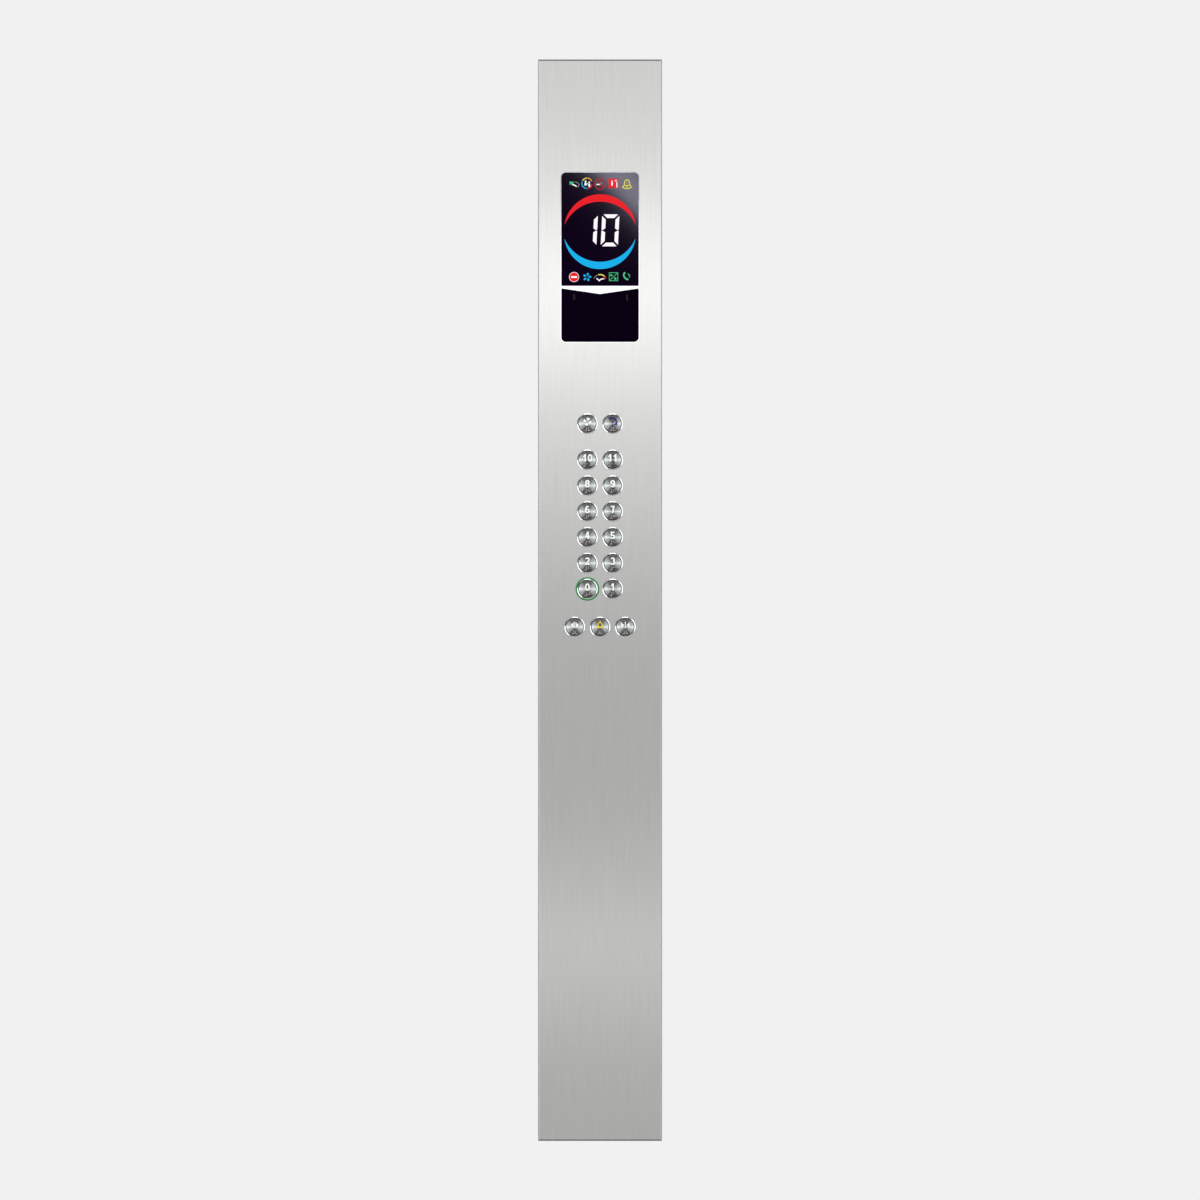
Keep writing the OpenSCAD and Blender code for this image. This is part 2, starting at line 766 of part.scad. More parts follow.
// Keeper pins riveted through the right wall of the box
module keeper_pins() {
    head_t = 1.2;
    color(BRIGHT) for (z = LOCKS) translate([0, keeper_y, z + keeper_offset]) {
        bar_x(keeper_r, claw_x - 2, box_x);
        bar_x(keeper_r + 2, wall_x - 1.5, wall_x);
        bar_x(keeper_r + 1.5, box_x, box_x + head_t);
    }
}

// Back box

// Section across the inside of the box, drawn a little past its mouth
module box_inside(over) {
    inside_d = floor_y + box_t + over;
    translate([0, -box_t - over]) mirror([0, 1]) tray_section(2 * wall_x, inside_d, box_fold_r - box_t);
}

// Channel: back and two sides, folded from one sheet
module back_box() {
    color(ZINC) difference() {
        along_z(-box_z, box_z) difference() {
            translate([0, -box_t]) mirror([0, 1]) tray_section(2 * box_x, box_d + box_t, box_fold_r);
            box_inside(1);
        }
        for (z = LOCKS) translate([0, keeper_y, z + keeper_offset]) bar_x(keeper_r, wall_x - 1, box_x + 1);
        at_each(BOARD_POSTS) bar_y(screw_r, floor_y - 1, box_d + 1);
        at_each(RAIL_SCREWS) bar_y(screw_r, floor_y - 1, box_d + 1);
        translate([earth_x, 0, earth_z]) bar_y(earth_r, floor_y - 1, box_d + 1);
    }
}

// Plates welded into the channel's ends: cable opening in the top one, two drain holes in the bottom one
module box_end_plates() {
    drain_r = 4;
    drain_x = wall_x - 16;
    through = box_t + 2;
    color(ZINC) difference() {
        for (s = [0, 1]) mirror([0, 0, s]) along_z(roof_z, box_z) box_inside(0);
        translate([0, gland_y, 0]) along_z(roof_z - 1, box_z + 1)
            rounded_rect(gland_cut_w, gland_cut_d, 4);
        for (s = [-1, 1]) {
            translate([s * gland_screw_x, gland_y, roof_z - 1]) cylinder(r = screw_r, h = through);
            translate([s * drain_x, gland_y, -box_z - 1]) cylinder(r = drain_r, h = through);
        }
    }
}

// Four flat bars welded round the box's mouth; the wall screws go through the long ones
module wall_flange() {
    color(ZINC) {
        for (s = [-1, 1]) along_y(-box_t, 0) difference() {
            translate([s * hole_x, 0]) square([flange_w, 2 * flange_z], center = true);
            for (z = [-hole_z, -wall_mid / 2, wall_mid / 2, hole_z])
                translate([s * hole_x, z]) circle(d = wall_hole_d);
            for (z = HINGES, k = [-1, 1])
                translate([leaf_screw_x, z + k * leaf_screw_z]) circle(r = screw_r);
        }
        for (s = [-1, 1]) along_y(-box_t, 0) translate([0, s * (box_z + flange_w / 2)])
            square([2 * (box_x - weld_gap), flange_w], center = true);
    }
}

// Plate inside the top of the box that closes the cable opening round the gland
module gland_plate() {
    under = roof_z - gland_plate_t;
    through = gland_plate_t + 2;
    color(STAINLESS) translate([0, gland_y, 0]) difference() {
        along_z(under, roof_z) rounded_rect(gland_plate_w, gland_plate_d, 4);
        translate([0, 0, under - 1]) cylinder(r = gland_body_r + loose, h = through);
        for (s = [-1, 1]) translate([s * gland_screw_x, 0, under - 1])
            cylinder(r = screw_r + loose, h = through);
    }
}

// Gland: threaded tube with a hexagon and a domed cap, through the plate
module cable_gland() {
    tube_from = roof_z - gland_plate_t - 7;
    dome_r = gland_body_r + 2.5;
    color(BLACK) translate([0, gland_y, 0]) difference() {
        union() {
            translate([0, 0, tube_from]) cylinder(r = gland_body_r, h = roof_z - tube_from + 1);
            translate([0, 0, roof_z]) cylinder(r = (gland_body_r + 3) * 2 / sqrt(3), h = 6, $fn = 6);
            translate([0, 0, roof_z + 6]) rotate_extrude() {
                square([dome_r, 9]);
                square([dome_r - 3, 12]);
                translate([dome_r - 3, 9]) circle(r = 3);
            }
        }
        translate([0, 0, tube_from - 1]) cylinder(r = gland_r, h = 40);
    }
}

module gland_locknut() {
    top = roof_z - gland_plate_t;
    color(BLACK) translate([0, gland_y, top - 5]) difference() {
        cylinder(r = (gland_body_r + 3) * 2 / sqrt(3), h = 5, $fn = 6);
        translate([0, 0, -1]) cylinder(r = gland_body_r, h = 7);
    }
}

// One pan-head screw, its head's underside at y = 0 and its shank towards +Y
module pan_screw(len) {
    difference() {
        union() {
            bar_y(screw_head_r, -screw_head_t, 0);
            bar_y(screw_r, 0, len);
        }
        hex_y(2.5, -screw_head_t - 1, -screw_head_t + 1.4);
    }
}

module box_screws() {
    color(BRIGHT) {
        for (z = HINGES, s = [-1, 1]) translate([leaf_screw_x, -box_t - leaf_t, z + s * leaf_screw_z])
            pan_screw(box_t + leaf_t);
        at_each(BOARD_POSTS) translate([0, board_y, 0]) pan_screw(box_d - board_y + 2);
        at_each(RAIL_SCREWS) translate([0, floor_y - rail_t, 0]) pan_screw(rail_t + box_t + 2);
        for (s = [-1, 1]) translate([s * gland_screw_x, gland_y, roof_z - gland_plate_t])
            rotate([90, 0, 0]) pan_screw(box_t + gland_plate_t + 2);
    }
}

// Rubber buffers on the flange that the closed faceplate rests against
module stop_buffers() {
    color(BLACK) at_each([for (z = [-buffer_z, -buffer_z / 2, buffer_z / 2, buffer_z]) [hole_x, z]])
        translate([0, -box_t, 0]) turned_y() {
            rise = back_y + box_t + seat_gap;
            polygon([[0, 0], [buffer_r, 0], [buffer_r, rise * 0.4], [buffer_r - 1.5, rise], [0, rise]]);
        }
}

// Electronics in the box

module control_board() {
    color(CIRCUIT) circuit_sheet(board_y, board_t, BOARD_POSTS, screw_r + loose)
        translate([0, -board_drop]) rounded_rect(board_w, board_h, 3);
}

module board_standoffs() {
    color("gold") at_each(BOARD_POSTS) difference() {
        hex_y(7, board_y + board_t, floor_y);
        bar_y(screw_r + fit, board_y, floor_y + 1);
    }
}

module board_parts() {
    relays = 6;
    relay_pitch = (board_w - 24) / relays;
    relay_z = -board_drop + board_h / 2 - 45;
    chip_z = -board_drop + 10;
    can_z = -board_drop - 60;
    color(BLACK) {
        for (i = [0:relays - 1]) translate([(i - (relays - 1) / 2) * relay_pitch, 0, relay_z])
            along_y(board_y - 15, board_y) square([relay_pitch - 4, 28], center = true);
        translate([-18, 0, chip_z]) along_y(board_y - 2, board_y) square([26, 26], center = true);
        translate([24, 0, chip_z + 6]) along_y(board_y - 2, board_y) square([18, 10], center = true);
    }
    color("slategray") for (i = [0:3]) translate([-36 + 22 * i, 0, can_z]) turned_y()
        polygon([[0, board_y], [7, board_y], [7, board_y - 18], [6, board_y - 19], [0, board_y - 19]]);
}

module board_connectors() {
    rows_z = [board_h / 2 - 12, -board_h / 2 + 12];
    color("forestgreen") for (z = rows_z, x = [-1, 1])
        translate([x * (board_w / 4 - 2), 0, -board_drop + z])
            mirror([0, 1, 0]) header(board_w / 2 - 24, 11, -board_y, 12);
}

module din_rail() {
    web = 25;
    lip_w = 4.5;
    color(ZINC) translate([0, 0, rail_z]) difference() {
        along_x(-rail_w / 2, rail_w / 2) {
            translate([floor_y - rail_t, -web / 2]) square([rail_t, web]);
            for (s = [0, 1]) mirror([0, s]) {
                translate([floor_y - rail_depth, web / 2]) square([rail_depth, rail_t]);
                translate([floor_y - rail_depth, web / 2 + rail_t / 2]) square([rail_t, lip_w]);
            }
        }
        for (p = RAIL_SCREWS) translate([p[0], 0, 0]) bar_y(screw_r + loose, floor_y - 2, floor_y + 1);
    }
}

module terminal_section() {
    rail_face = floor_y - rail_depth;
    half_h = 21;
    half_top = 12;
    shoulder = 22;
    rise = 34;
    wire_r = 2.2;
    difference() {
        polygon([
            [rail_face, -half_h],
            [rail_face - shoulder, -half_h],
            [rail_face - rise, -half_top],
            [rail_face - rise, half_top],
            [rail_face - shoulder, half_h],
            [rail_face, half_h]
        ]);
        for (s = [-1, 1]) translate([rail_face - 26, s * 13]) circle(r = wire_r);
    }
}

module rail_terminals() {
    color("lightslategray") for (i = [0:terminals - 1])
        translate([(i - (terminals - 1) / 2) * terminal_pitch, 0, rail_z])
            along_x(-terminal_pitch / 2 + 0.1, terminal_pitch / 2 - 0.1) terminal_section();
}

module earth_stud() {
    color("goldenrod") translate([earth_x, 0, earth_z]) {
        bar_y(earth_r, floor_y - 20, box_d);
        hex_y(10, floor_y - 5, floor_y);
        bar_y(6, floor_y - 6.2, floor_y - 5);
        hex_y(10, floor_y - 11.2, floor_y - 6.2);
    }
}

ROOT_NODES = [
    "back_box", "box_end_plates", "wall_flange", "gland_plate", "cable_gland", "gland_locknut",
    "box_screws", "stop_buffers", "hinge_box_leaves", "hinge_pins", "keeper_pins", "control_board",
    "board_standoffs", "board_parts", "board_connectors", "din_rail", "rail_terminals", "earth_stud"
];
PANEL_NODES = [
    "faceplate", "weld_studs", "stud_nuts", "stiffener_channels", "hinge_panel_leaves",
    "lens_frame", "upper_lens", "lower_lens", "chevron_strip", "module_spacers", "display_board",
    "display_light_box", "card_reader_board", "button_bezels", "button_nuts", "button_housings",
    "button_boards", "plug_headers", "exit_collar", "lock_bushes", "lock_brackets"
];
LOCK_NODES = ["lower_lock_spindle", "lower_lock_claw", "upper_lock_spindle", "upper_lock_claw"];

back_box();
box_end_plates();
wall_flange();
gland_plate();
cable_gland();
gland_locknut();
box_screws();
stop_buffers();
hinge_box_leaves();
hinge_pins();
keeper_pins();
control_board();
board_standoffs();
board_parts();
board_connectors();
din_rail();
rail_terminals();
earth_stud();
faceplate();
weld_studs();
stud_nuts();
stiffener_channels();
hinge_panel_leaves();
lens_frame();
upper_lens();
lower_lens();
chevron_strip();
module_spacers();
display_board();
display_light_box();
card_reader_board();
button_bezels();
button_nuts();
button_housings();
button_boards();
plug_headers();
exit_collar();
lock_bushes();
lock_brackets();
lock_spindle(LOCKS[0]);  // lower_lock_spindle
lock_claw(LOCKS[0]);  // lower_lock_claw
lock_spindle(LOCKS[1]);  // upper_lock_spindle
lock_claw(LOCKS[1]);  // upper_lock_claw
for (i = [0:len(CAPS) - 1]) button_cap(BUTTONS[i]);
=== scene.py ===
import json
import math

import bmesh
import bpy
from mathutils import Matrix, Vector


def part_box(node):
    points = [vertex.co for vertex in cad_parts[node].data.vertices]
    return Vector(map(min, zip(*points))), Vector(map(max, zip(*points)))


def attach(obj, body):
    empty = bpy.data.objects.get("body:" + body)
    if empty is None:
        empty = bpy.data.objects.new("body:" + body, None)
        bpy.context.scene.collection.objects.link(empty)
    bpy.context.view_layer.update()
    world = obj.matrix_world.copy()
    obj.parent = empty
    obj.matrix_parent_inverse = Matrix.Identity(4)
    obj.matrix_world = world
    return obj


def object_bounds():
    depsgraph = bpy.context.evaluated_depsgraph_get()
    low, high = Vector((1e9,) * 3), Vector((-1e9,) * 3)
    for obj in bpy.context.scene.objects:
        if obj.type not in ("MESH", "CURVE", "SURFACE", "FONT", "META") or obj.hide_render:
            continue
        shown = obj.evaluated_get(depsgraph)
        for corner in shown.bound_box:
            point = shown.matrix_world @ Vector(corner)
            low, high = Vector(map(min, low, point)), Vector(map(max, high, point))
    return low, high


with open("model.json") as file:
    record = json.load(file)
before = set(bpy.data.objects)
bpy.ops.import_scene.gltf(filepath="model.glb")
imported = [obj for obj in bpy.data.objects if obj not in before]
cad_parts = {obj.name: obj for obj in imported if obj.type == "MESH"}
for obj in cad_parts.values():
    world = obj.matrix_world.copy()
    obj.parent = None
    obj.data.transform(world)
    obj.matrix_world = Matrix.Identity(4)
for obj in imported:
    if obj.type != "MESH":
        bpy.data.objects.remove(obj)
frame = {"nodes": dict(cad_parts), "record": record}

CAD_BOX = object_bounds()
NODES = frame["nodes"]
MM = 0.001
LAYER = 0.05 * MM     # paint and lit legends stand this far in front of the face that carries them
THIN = 0.01 * MM      # strokes that cross each other differ by this much, so that no two faces coincide
PLATE = 0.3 * MM      # thickness of paint and of lit legends

# Photograph: 1200 x 1200 pixels, straight from the front, 1.936 mm to a pixel at the faceplate
PIXEL = 1.936 * MM
PHOTO_SIDE = 1200
PANEL_CENTRE = (600.05, 600.2)


def spot(x, y):
    """Place on the front, in metres, of a pixel of the photograph."""
    return (x - PANEL_CENTRE[0]) * PIXEL, (PANEL_CENTRE[1] - y) * PIXEL


def linear(code):
    """sRGB hex colour as linear RGBA."""
    parts = [int(code[i:i + 2], 16) / 255 for i in (1, 3, 5)]
    return tuple(c / 12.92 if c <= 0.04045 else ((c + 0.055) / 1.055) ** 2.4 for c in parts) + (1.0,)


# The kinds of node used most
MATH, RANGE = "ShaderNodeMath", "ShaderNodeMapRange"
VECTORS, XYZ = "ShaderNodeVectorMath", "ShaderNodeCombineXYZ"


def add(tree, kind, settings=None, into=None):
    """One node with its settings and links. A key is a property, or a socket's name or number. A value that
    is an output is linked to that socket, and a node as a value stands for its first output. The new node's
    own first output is linked into the socket given last."""
    node = tree.nodes.new(kind)
    for key, value in (settings or {}).items():
        if isinstance(value, bpy.types.Node):
            value = value.outputs[0]
        if isinstance(value, bpy.types.NodeSocket):
            tree.links.new(value, node.inputs[key])
        elif isinstance(key, int) or key in node.inputs:
            node.inputs[key].default_value = value
        else:
            setattr(node, key, value)
    if into:
        tree.links.new(node.outputs[0], into)
    return node


# Materials

def finish(name, colour, rough, metal=0.0, **more):
    """A material with one principled shader; returns the material, its tree and the shader."""
    made = bpy.data.materials.new(name)
    made.use_nodes = True
    tree = made.node_tree
    tree.nodes.clear()
    shader = add(tree, "ShaderNodeBsdfPrincipled",
                 {"Base Color": linear(colour), "Roughness": rough, "Metallic": metal,
                  **{key.replace("_", " "): value for key, value in more.items()}})
    add(tree, "ShaderNodeOutputMaterial", {"Surface": shader})
    return made, tree, shader


def grain(tree, feature, detail=2.0, shift=0.0):
    """Noise whose features measure that many metres, one number or (x, y, z)."""
    sizes = feature if isinstance(feature, tuple) else (feature,) * 3
    place = add(tree, "ShaderNodeTexCoord").outputs["Object"]
    mapped = add(tree, "ShaderNodeMapping", {"Vector": place, "Location": (shift,) * 3,
                                             "Scale": tuple(1 / f for f in sizes)})
    noise = {"Vector": mapped, "Scale": 1.0, "Detail": detail, "Roughness": 0.5}
    return add(tree, "ShaderNodeTexNoise", noise).outputs["Fac"]


# Most of a noise lies between these two values
NOISE_LOW, NOISE_HIGH = 0.3, 0.7


def roughen(tree, shader, pattern, low, high, start=NOISE_LOW, end=NOISE_HIGH):
    """Roughness goes from low to high as the pattern goes from start to end."""
    add(tree, RANGE, {0: pattern, 1: start, 2: end, 3: low, 4: high}, shader.inputs["Roughness"])


def tint(tree, shader, pattern, first, second, start=NOISE_LOW, end=NOISE_HIGH):
    """Colour goes from the first hex code to the second as the pattern goes from start to end."""
    share = add(tree, RANGE, {0: pattern, 1: start, 2: end, 3: 0, 4: 1})
    mixed = add(tree, "ShaderNodeMix", {"data_type": "RGBA", 0: share, 6: linear(first), 7: linear(second)})
    tree.links.new(mixed.outputs[2], shader.inputs["Base Color"])


# Turns a direction in the object's own axes to the world's, for a stretched highlight. A face that the
# direction stands square on would turn black, so each one leans a little to a second axis or a third.
TO_WORLD = {"vector_type": "VECTOR", "convert_from": "OBJECT", "convert_to": "WORLD"}


def hairline_stainless():
    # Stainless sheet brushed from end to end: vertical hairlines smear reflections sideways. The lines are
    # 0.15 mm wide on the real sheet; drawn 0.8 mm and, for faint streaks that show at a distance, 6 mm wide.
    made, tree, shader = finish("hairline_stainless_steel", "#BDBDBB", 0.34, 1.0, Anisotropic=0.85)
    fine = grain(tree, (0.8 * MM, 0.8 * MM, 90 * MM))
    streaks = grain(tree, (6 * MM, 6 * MM, 130 * MM), shift=3.7)
    faint = add(tree, RANGE, {0: fine, 1: NOISE_LOW, 2: NOISE_HIGH, 3: 0, 4: 0.45})
    both = add(tree, MATH, {"operation": "MULTIPLY_ADD", 0: streaks, 1: 0.55, 2: faint})
    tint(tree, shader, both, "#B0B0AF", "#B6B6B5")
    roughen(tree, shader, fine, 0.325, 0.355)
    add(tree, "ShaderNodeVectorTransform", {**TO_WORLD, 0: (1, 0.3, 0.005)}, shader.inputs["Tangent"])
    return made


CAP_RADIUS = 16.7 * MM
CAP_SLOPE = 0.12      # the face is domed by a few hundredths of its radius: its slope at the rim


def turned_stainless(name, centre):
    # Stainless cap faced on a lathe: fine rings smear each reflection towards and away from the centre, so
    # the face shows bright and dark fans. The rings are 0.1 mm apart; drawn 0.5 mm.
    made, tree, shader = finish("turned_stainless_steel_" + name, "#DDE3E3", 0.31, 1.0, Anisotropic=0.95)
    place = add(tree, "ShaderNodeTexCoord").outputs["Object"]
    moved = add(tree, "ShaderNodeMapping", {"Vector": place, "Location": tuple(-c for c in centre)})
    flat = add(tree, VECTORS, {"operation": "MULTIPLY", 0: moved, 1: (1, 0, 1)})
    out = add(tree, VECTORS, {"operation": "NORMALIZE", 0: flat})
    leaning = add(tree, VECTORS, {"operation": "ADD", 0: out, 1: (0, 0.3, 0)})
    add(tree, "ShaderNodeVectorTransform", {**TO_WORLD, 0: leaning}, shader.inputs["Tangent"])
    reach = add(tree, VECTORS, {"operation": "LENGTH", 0: flat}).outputs["Value"]
    rings = add(tree, "ShaderNodeTexNoise", {"noise_dimensions": "1D", "W": reach, "Scale": 1 / (0.5 * MM),
                                             "Detail": 2.0})
    roughen(tree, shader, rings.outputs["Fac"], 0.23, 0.28)
    square = add(tree, MATH, {"operation": "MULTIPLY", 0: reach, 1: reach})
    dome = add(tree, MATH, {"operation": "MULTIPLY", 0: square, 1: -CAP_SLOPE / (2 * CAP_RADIUS)})
    add(tree, "ShaderNodeBump", {"Distance": 1.0, "Height": dome}, shader.inputs["Normal"])
    return made


def polished_steel(name, colour, rough):
    # Bright turned or polished steel: sharp reflections with the faintest haze from handling.
    made, tree, shader = finish(name, colour, rough, 1.0)
    roughen(tree, shader, grain(tree, 9 * MM, 3.0), rough * 0.8, rough * 1.4)
    return made


def galvanised_sheet():
    # Hot-dip galvanised sheet: flat zinc crystals 12 mm across, each a slightly different grey and gloss.
    made, tree, shader = finish("galvanised_steel_sheet", "#AEB3B5", 0.45, 1.0)
    place = add(tree, "ShaderNodeTexCoord").outputs["Object"]
    cells = add(tree, "ShaderNodeTexVoronoi", {"Vector": place, "Scale": 1 / (12 * MM)})
    shade = add(tree, "ShaderNodeSeparateColor", {"Color": cells.outputs["Color"]})
    tint(tree, shader, shade, "#A5AAAD", "#BCC0C2", 0, 1)
    roughen(tree, shader, shade.outputs[1], 0.34, 0.55, 0, 1)
    return made


def plated_steel(name, first, second, rough):
    # Electroplated parts: satin metal whose tint drifts a little over a few millimetres.
    made, tree, shader = finish(name, first, rough, 1.0)
    tint(tree, shader, grain(tree, 7 * MM), first, second)
    roughen(tree, shader, grain(tree, 1.5 * MM), rough * 0.85, rough * 1.25)
    return made


def mill_sheet():
    # Stainless sheet as rolled: even, soft grey sheen with faint rolling lines along its length, 2 mm apart.
    made, tree, shader = finish("rolled_stainless_sheet", "#BDBEBD", 0.38, 1.0, Anisotropic=0.4)
    roughen(tree, shader, grain(tree, (60 * MM, 2 * MM, 2 * MM)), 0.33, 0.44)
    add(tree, "ShaderNodeVectorTransform", {**TO_WORLD, 0: (0.3, 1, 0.005)}, shader.inputs["Tangent"])
    return made


def moulded(name, colour, rough, grit=0.4, depth=0.02):
    # Injection moulded plastic: even colour and a fine spark-eroded grain, 0.1 mm; drawn 0.4 mm.
    made, tree, shader = finish(name, colour, rough, IOR=1.5)
    texture = grain(tree, grit * MM, 1.0)
    add(tree, "ShaderNodeBump", {"Distance": depth * MM, "Height": texture}, shader.inputs["Normal"])
    roughen(tree, shader, texture, rough * 0.9, rough * 1.1)
    return made


def clear_cast(name, colour, rough, level, glow=0.0):
    # Cast acrylic: a flat, very smooth face with the softest orange peel, 14 mm across. The black lenses have
    # an anti-glare coat, and the opal strip glows faintly: painted light that makes it as bright as a
    # highlight.
    made, tree, shader = finish(name, colour, rough, IOR=1.49, Specular_IOR_Level=level,
                                Emission_Color=linear(colour), Emission_Strength=glow)
    add(tree, "ShaderNodeBump", {"Strength": 0.3, "Distance": 0.01 * MM, "Height": grain(tree, 14 * MM, 1.0)},
        shader.inputs["Normal"])
    return made


def circuit_laminate():
    # Glass epoxy board under green solder mask: copper tracks 0.7 mm wide show through as lighter green
    # lines, in some places level and in others upright, with plain ground areas between.
    made, tree, shader = finish("circuit_laminate", "#0F4A2A", 0.32, IOR=1.5)
    place = add(tree, "ShaderNodeTexCoord").outputs["Object"]
    region = grain(tree, 22 * MM, 0.0)
    shown = []
    for turn, start, end in ((0, 0.56, 0.58), (math.pi / 2, 0.44, 0.42)):
        mapped = add(tree, "ShaderNodeMapping", {"Vector": place, "Rotation": (math.pi / 2, turn, 0)})
        tracks = add(tree, "ShaderNodeTexBrick", {"Vector": mapped, "Scale": 1.0, "Mortar Size": 0.35 * MM,
                                                  "Mortar Smooth": 0.0, "Bias": 0.0, "Brick Width": 43 * MM,
                                                  "Row Height": 2.1 * MM, "offset": 0.29, "squash": 0.4,
                                                  "squash_frequency": 3})
        shown.append(add(tree, RANGE, {0: region, 1: start, 2: end, 3: 0, 4: tracks.outputs["Fac"]}))
    both = add(tree, MATH, {"operation": "MAXIMUM", 0: shown[0], 1: shown[1]})
    tint(tree, shader, both, "#0F4A2A", "#2A7040", 0, 1)
    return made


def rubber():
    # Moulded buffer rubber: matt black with a dusty bloom.
    made, tree, shader = finish("buffer_rubber", "#1B1B1B", 0.8)
    tint(tree, shader, grain(tree, 4 * MM, 3.0), "#171717", "#262625")
    return made


def lit(name, colour):
    # A legend lit from behind by light-emitting diodes: glows evenly in its own colour, over a black face
    # whose gloss has the 1 mm speckle of the diffuser.
    made, tree, shader = finish(name, "#050505", 0.4, Specular_IOR_Level=0.08, Emission_Color=linear(colour),
                                Emission_Strength=1.0)
    roughen(tree, shader, grain(tree, 1 * MM, 1.0), 0.36, 0.44)
    return made


def satin_dots():
    # Raised dots in a satin finish, tinted pale pink: paler than the turned face, because they scatter light
    # from all round.
    made, tree, shader = finish("satin_pink_tinted_dots", "#E4C9C9", 0.5, 0.3)
    roughen(tree, shader, grain(tree, 0.6 * MM), 0.45, 0.6)
    return made


def enamel(name, colour):
    # Engraved and filled with stoving enamel: a dense colour with a soft gloss, very slightly uneven.
    made, tree, shader = finish(name, colour, 0.3, Specular_IOR_Level=0.25)
    add(tree, "ShaderNodeBump", {"Distance": 0.01 * MM, "Height": grain(tree, 0.8 * MM, 1.0)},
        shader.inputs["Normal"])
    roughen(tree, shader, grain(tree, 2 * MM), 0.26, 0.36)
    return made


def faint_lens_mark():
    # Faint marks on the black lens: only just paler than the lens round it, speckled at 1 mm.
    made, tree, shader = finish("faint_lens_mark", "#160C1E", 0.3, Specular_IOR_Level=0.1)
    roughen(tree, shader, grain(tree, 1 * MM), 0.25, 0.35)
    return made


def floor_paint():
    # Painted studio floor, so smooth and even that it shows only shadows.
    made, tree, shader = finish("pale_floor", "#E9E9E8", 0.9)
    roughen(tree, shader, grain(tree, 300 * MM), 0.86, 0.94)
    return made


POLISHED = polished_steel("polished_steel", "#D6D6D6", 0.12)
SATIN = satin_dots()
ZINC_PLATE = plated_steel("zinc_plated_steel", "#BFC4CC", "#CFCBBE", 0.32)
COPPER = plated_steel("copper_plate", "#C98763", "#B9724F", 0.33)
BRASS = plated_steel("machined_brass", "#C9A75A", "#BE984B", 0.3)
TIN = plated_steel("tinned_pin", "#C9C9C4", "#D6D5D0", 0.25)
NYLON = moulded("black_nylon", "#1A1A1B", 0.5)
COMPONENT = moulded("black_epoxy", "#141416", 0.42, 0.3)
MATERIALS = {
    "hairline_stainless": hairline_stainless(),
    "stainless_sheet": mill_sheet(),
    "bright_steel": POLISHED,
    "galvanised_sheet": galvanised_sheet(),
    "zinc_plated_steel": ZINC_PLATE,
    "copper_plated_stud": COPPER,
    "black_nylon": NYLON,
    "black_components": COMPONENT,
    "black_acrylic": clear_cast("black_acrylic", "#0B0014", 0.09, 0.06),
    # Its faint glow is painted light that brightens the opal acrylic like a highlight.
    "white_acrylic": clear_cast("opal_acrylic", "#F6F6F6", 0.2, 0.3, 0.22),
    "white_polycarbonate": moulded("white_polycarbonate", "#DEDDD8", 0.45),
    "green_polycarbonate": moulded("green_polycarbonate", "#008A3E", 0.42, 0.6, 0.005),
    "green_terminal_plastic": moulded("green_polyamide", "#2F8A46", 0.45),
    "grey_terminal_plastic": moulded("grey_polyamide", "#9A9DA0", 0.5),
    "ivory_connector_plastic": moulded("ivory_polyamide", "#E2DCC8", 0.5),
    "circuit_laminate": circuit_laminate(),
    "brass_parts": BRASS,
    "buffer_rubber": rubber(),
}
WHITE_ENAMEL = enamel("white_enamel", "#FFFFFF")
BLUE_ENAMEL = enamel("blue_enamel", "#160A70")
YELLOW_ENAMEL = enamel("yellow_enamel", "#F0D020")
LIT = {name: lit("lit_" + name, colour) for name, colour in {
    "white": "#FEFAFF", "red": "#EA1822", "blue": "#0CAEEA", "yellow": "#E0D84A", "orange": "#F09A30",
    "green": "#48C086", "dark_red": "#B81C2C", "grey": "#84868C"}.items()}

CAPS = [n for n in NODES if n.startswith("cap_")]
SUBPARTS = {row["node"]: row["material_slot"] for row in frame["record"]["subparts"]}


def middle(node):
    """Centre of a CAD node's box, and the y of its front face."""
    low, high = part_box(node)
    return (low[0] + high[0]) / 2, (low[2] + high[2]) / 2, low[1]


for node, carrier in NODES.items():
    if node in CAPS:
        x, z, front = middle(node)
        made = turned_stainless(node.removeprefix("cap_"), (x, front, z))
    else:
        made = MATERIALS[SUBPARTS[node]]
    for place in carrier.material_slots:
        place.material = made


# Shapes drawn on a face that looks towards -Y: outlines are lists of (x, z) in metres

def slab(mesh, outline, front, depth=PLATE, tone=0):
    """A thin plate of that outline, closed all round."""
    near = [mesh.verts.new((x, front, z)) for x, z in outline]
    far = [mesh.verts.new((x, front + depth, z)) for x, z in outline]
    faces = [mesh.faces.new(near), mesh.faces.new(far[::-1])]
    for i in range(len(near)):
        j = (i + 1) % len(near)
        faces.append(mesh.faces.new((near[j], near[i], far[i], far[j])))
    for face in faces:
        face.material_index = tone


def turned_ring(mesh, x, z, profile, tone=0, steps=40):
    """A ring about the axis through x, z; profile is a closed line of (radius, y)."""
    loops = []
    for r, y in profile:
        turns = (2 * math.pi * i / steps for i in range(steps))
        loops.append([mesh.verts.new((x + r * math.cos(a), y, z + r * math.sin(a))) for a in turns])
    for one, two in zip(loops, loops[1:] + loops[:1]):
        for i in range(steps):
            j = (i + 1) % steps
            mesh.faces.new((one[i], one[j], two[j], two[i])).material_index = tone


def arc(x, z, radius, start, end, steps=16):
    """Points on an arc, angles in degrees from +X towards +Z."""
    angles = [math.radians(start + (end - start) * i / steps) for i in range(steps + 1)]
    return [(x + radius * math.cos(a), z + radius * math.sin(a)) for a in angles]


def disc(x, z, radius, steps=24):
    return arc(x, z, radius, 0, 360, steps)[:-1]


def part_ring(x, z, inner, outer, start, end, steps=16):
    """Outline of a piece of a ring."""
    return arc(x, z, outer, start, end, steps) + arc(x, z, inner, end, start, steps)


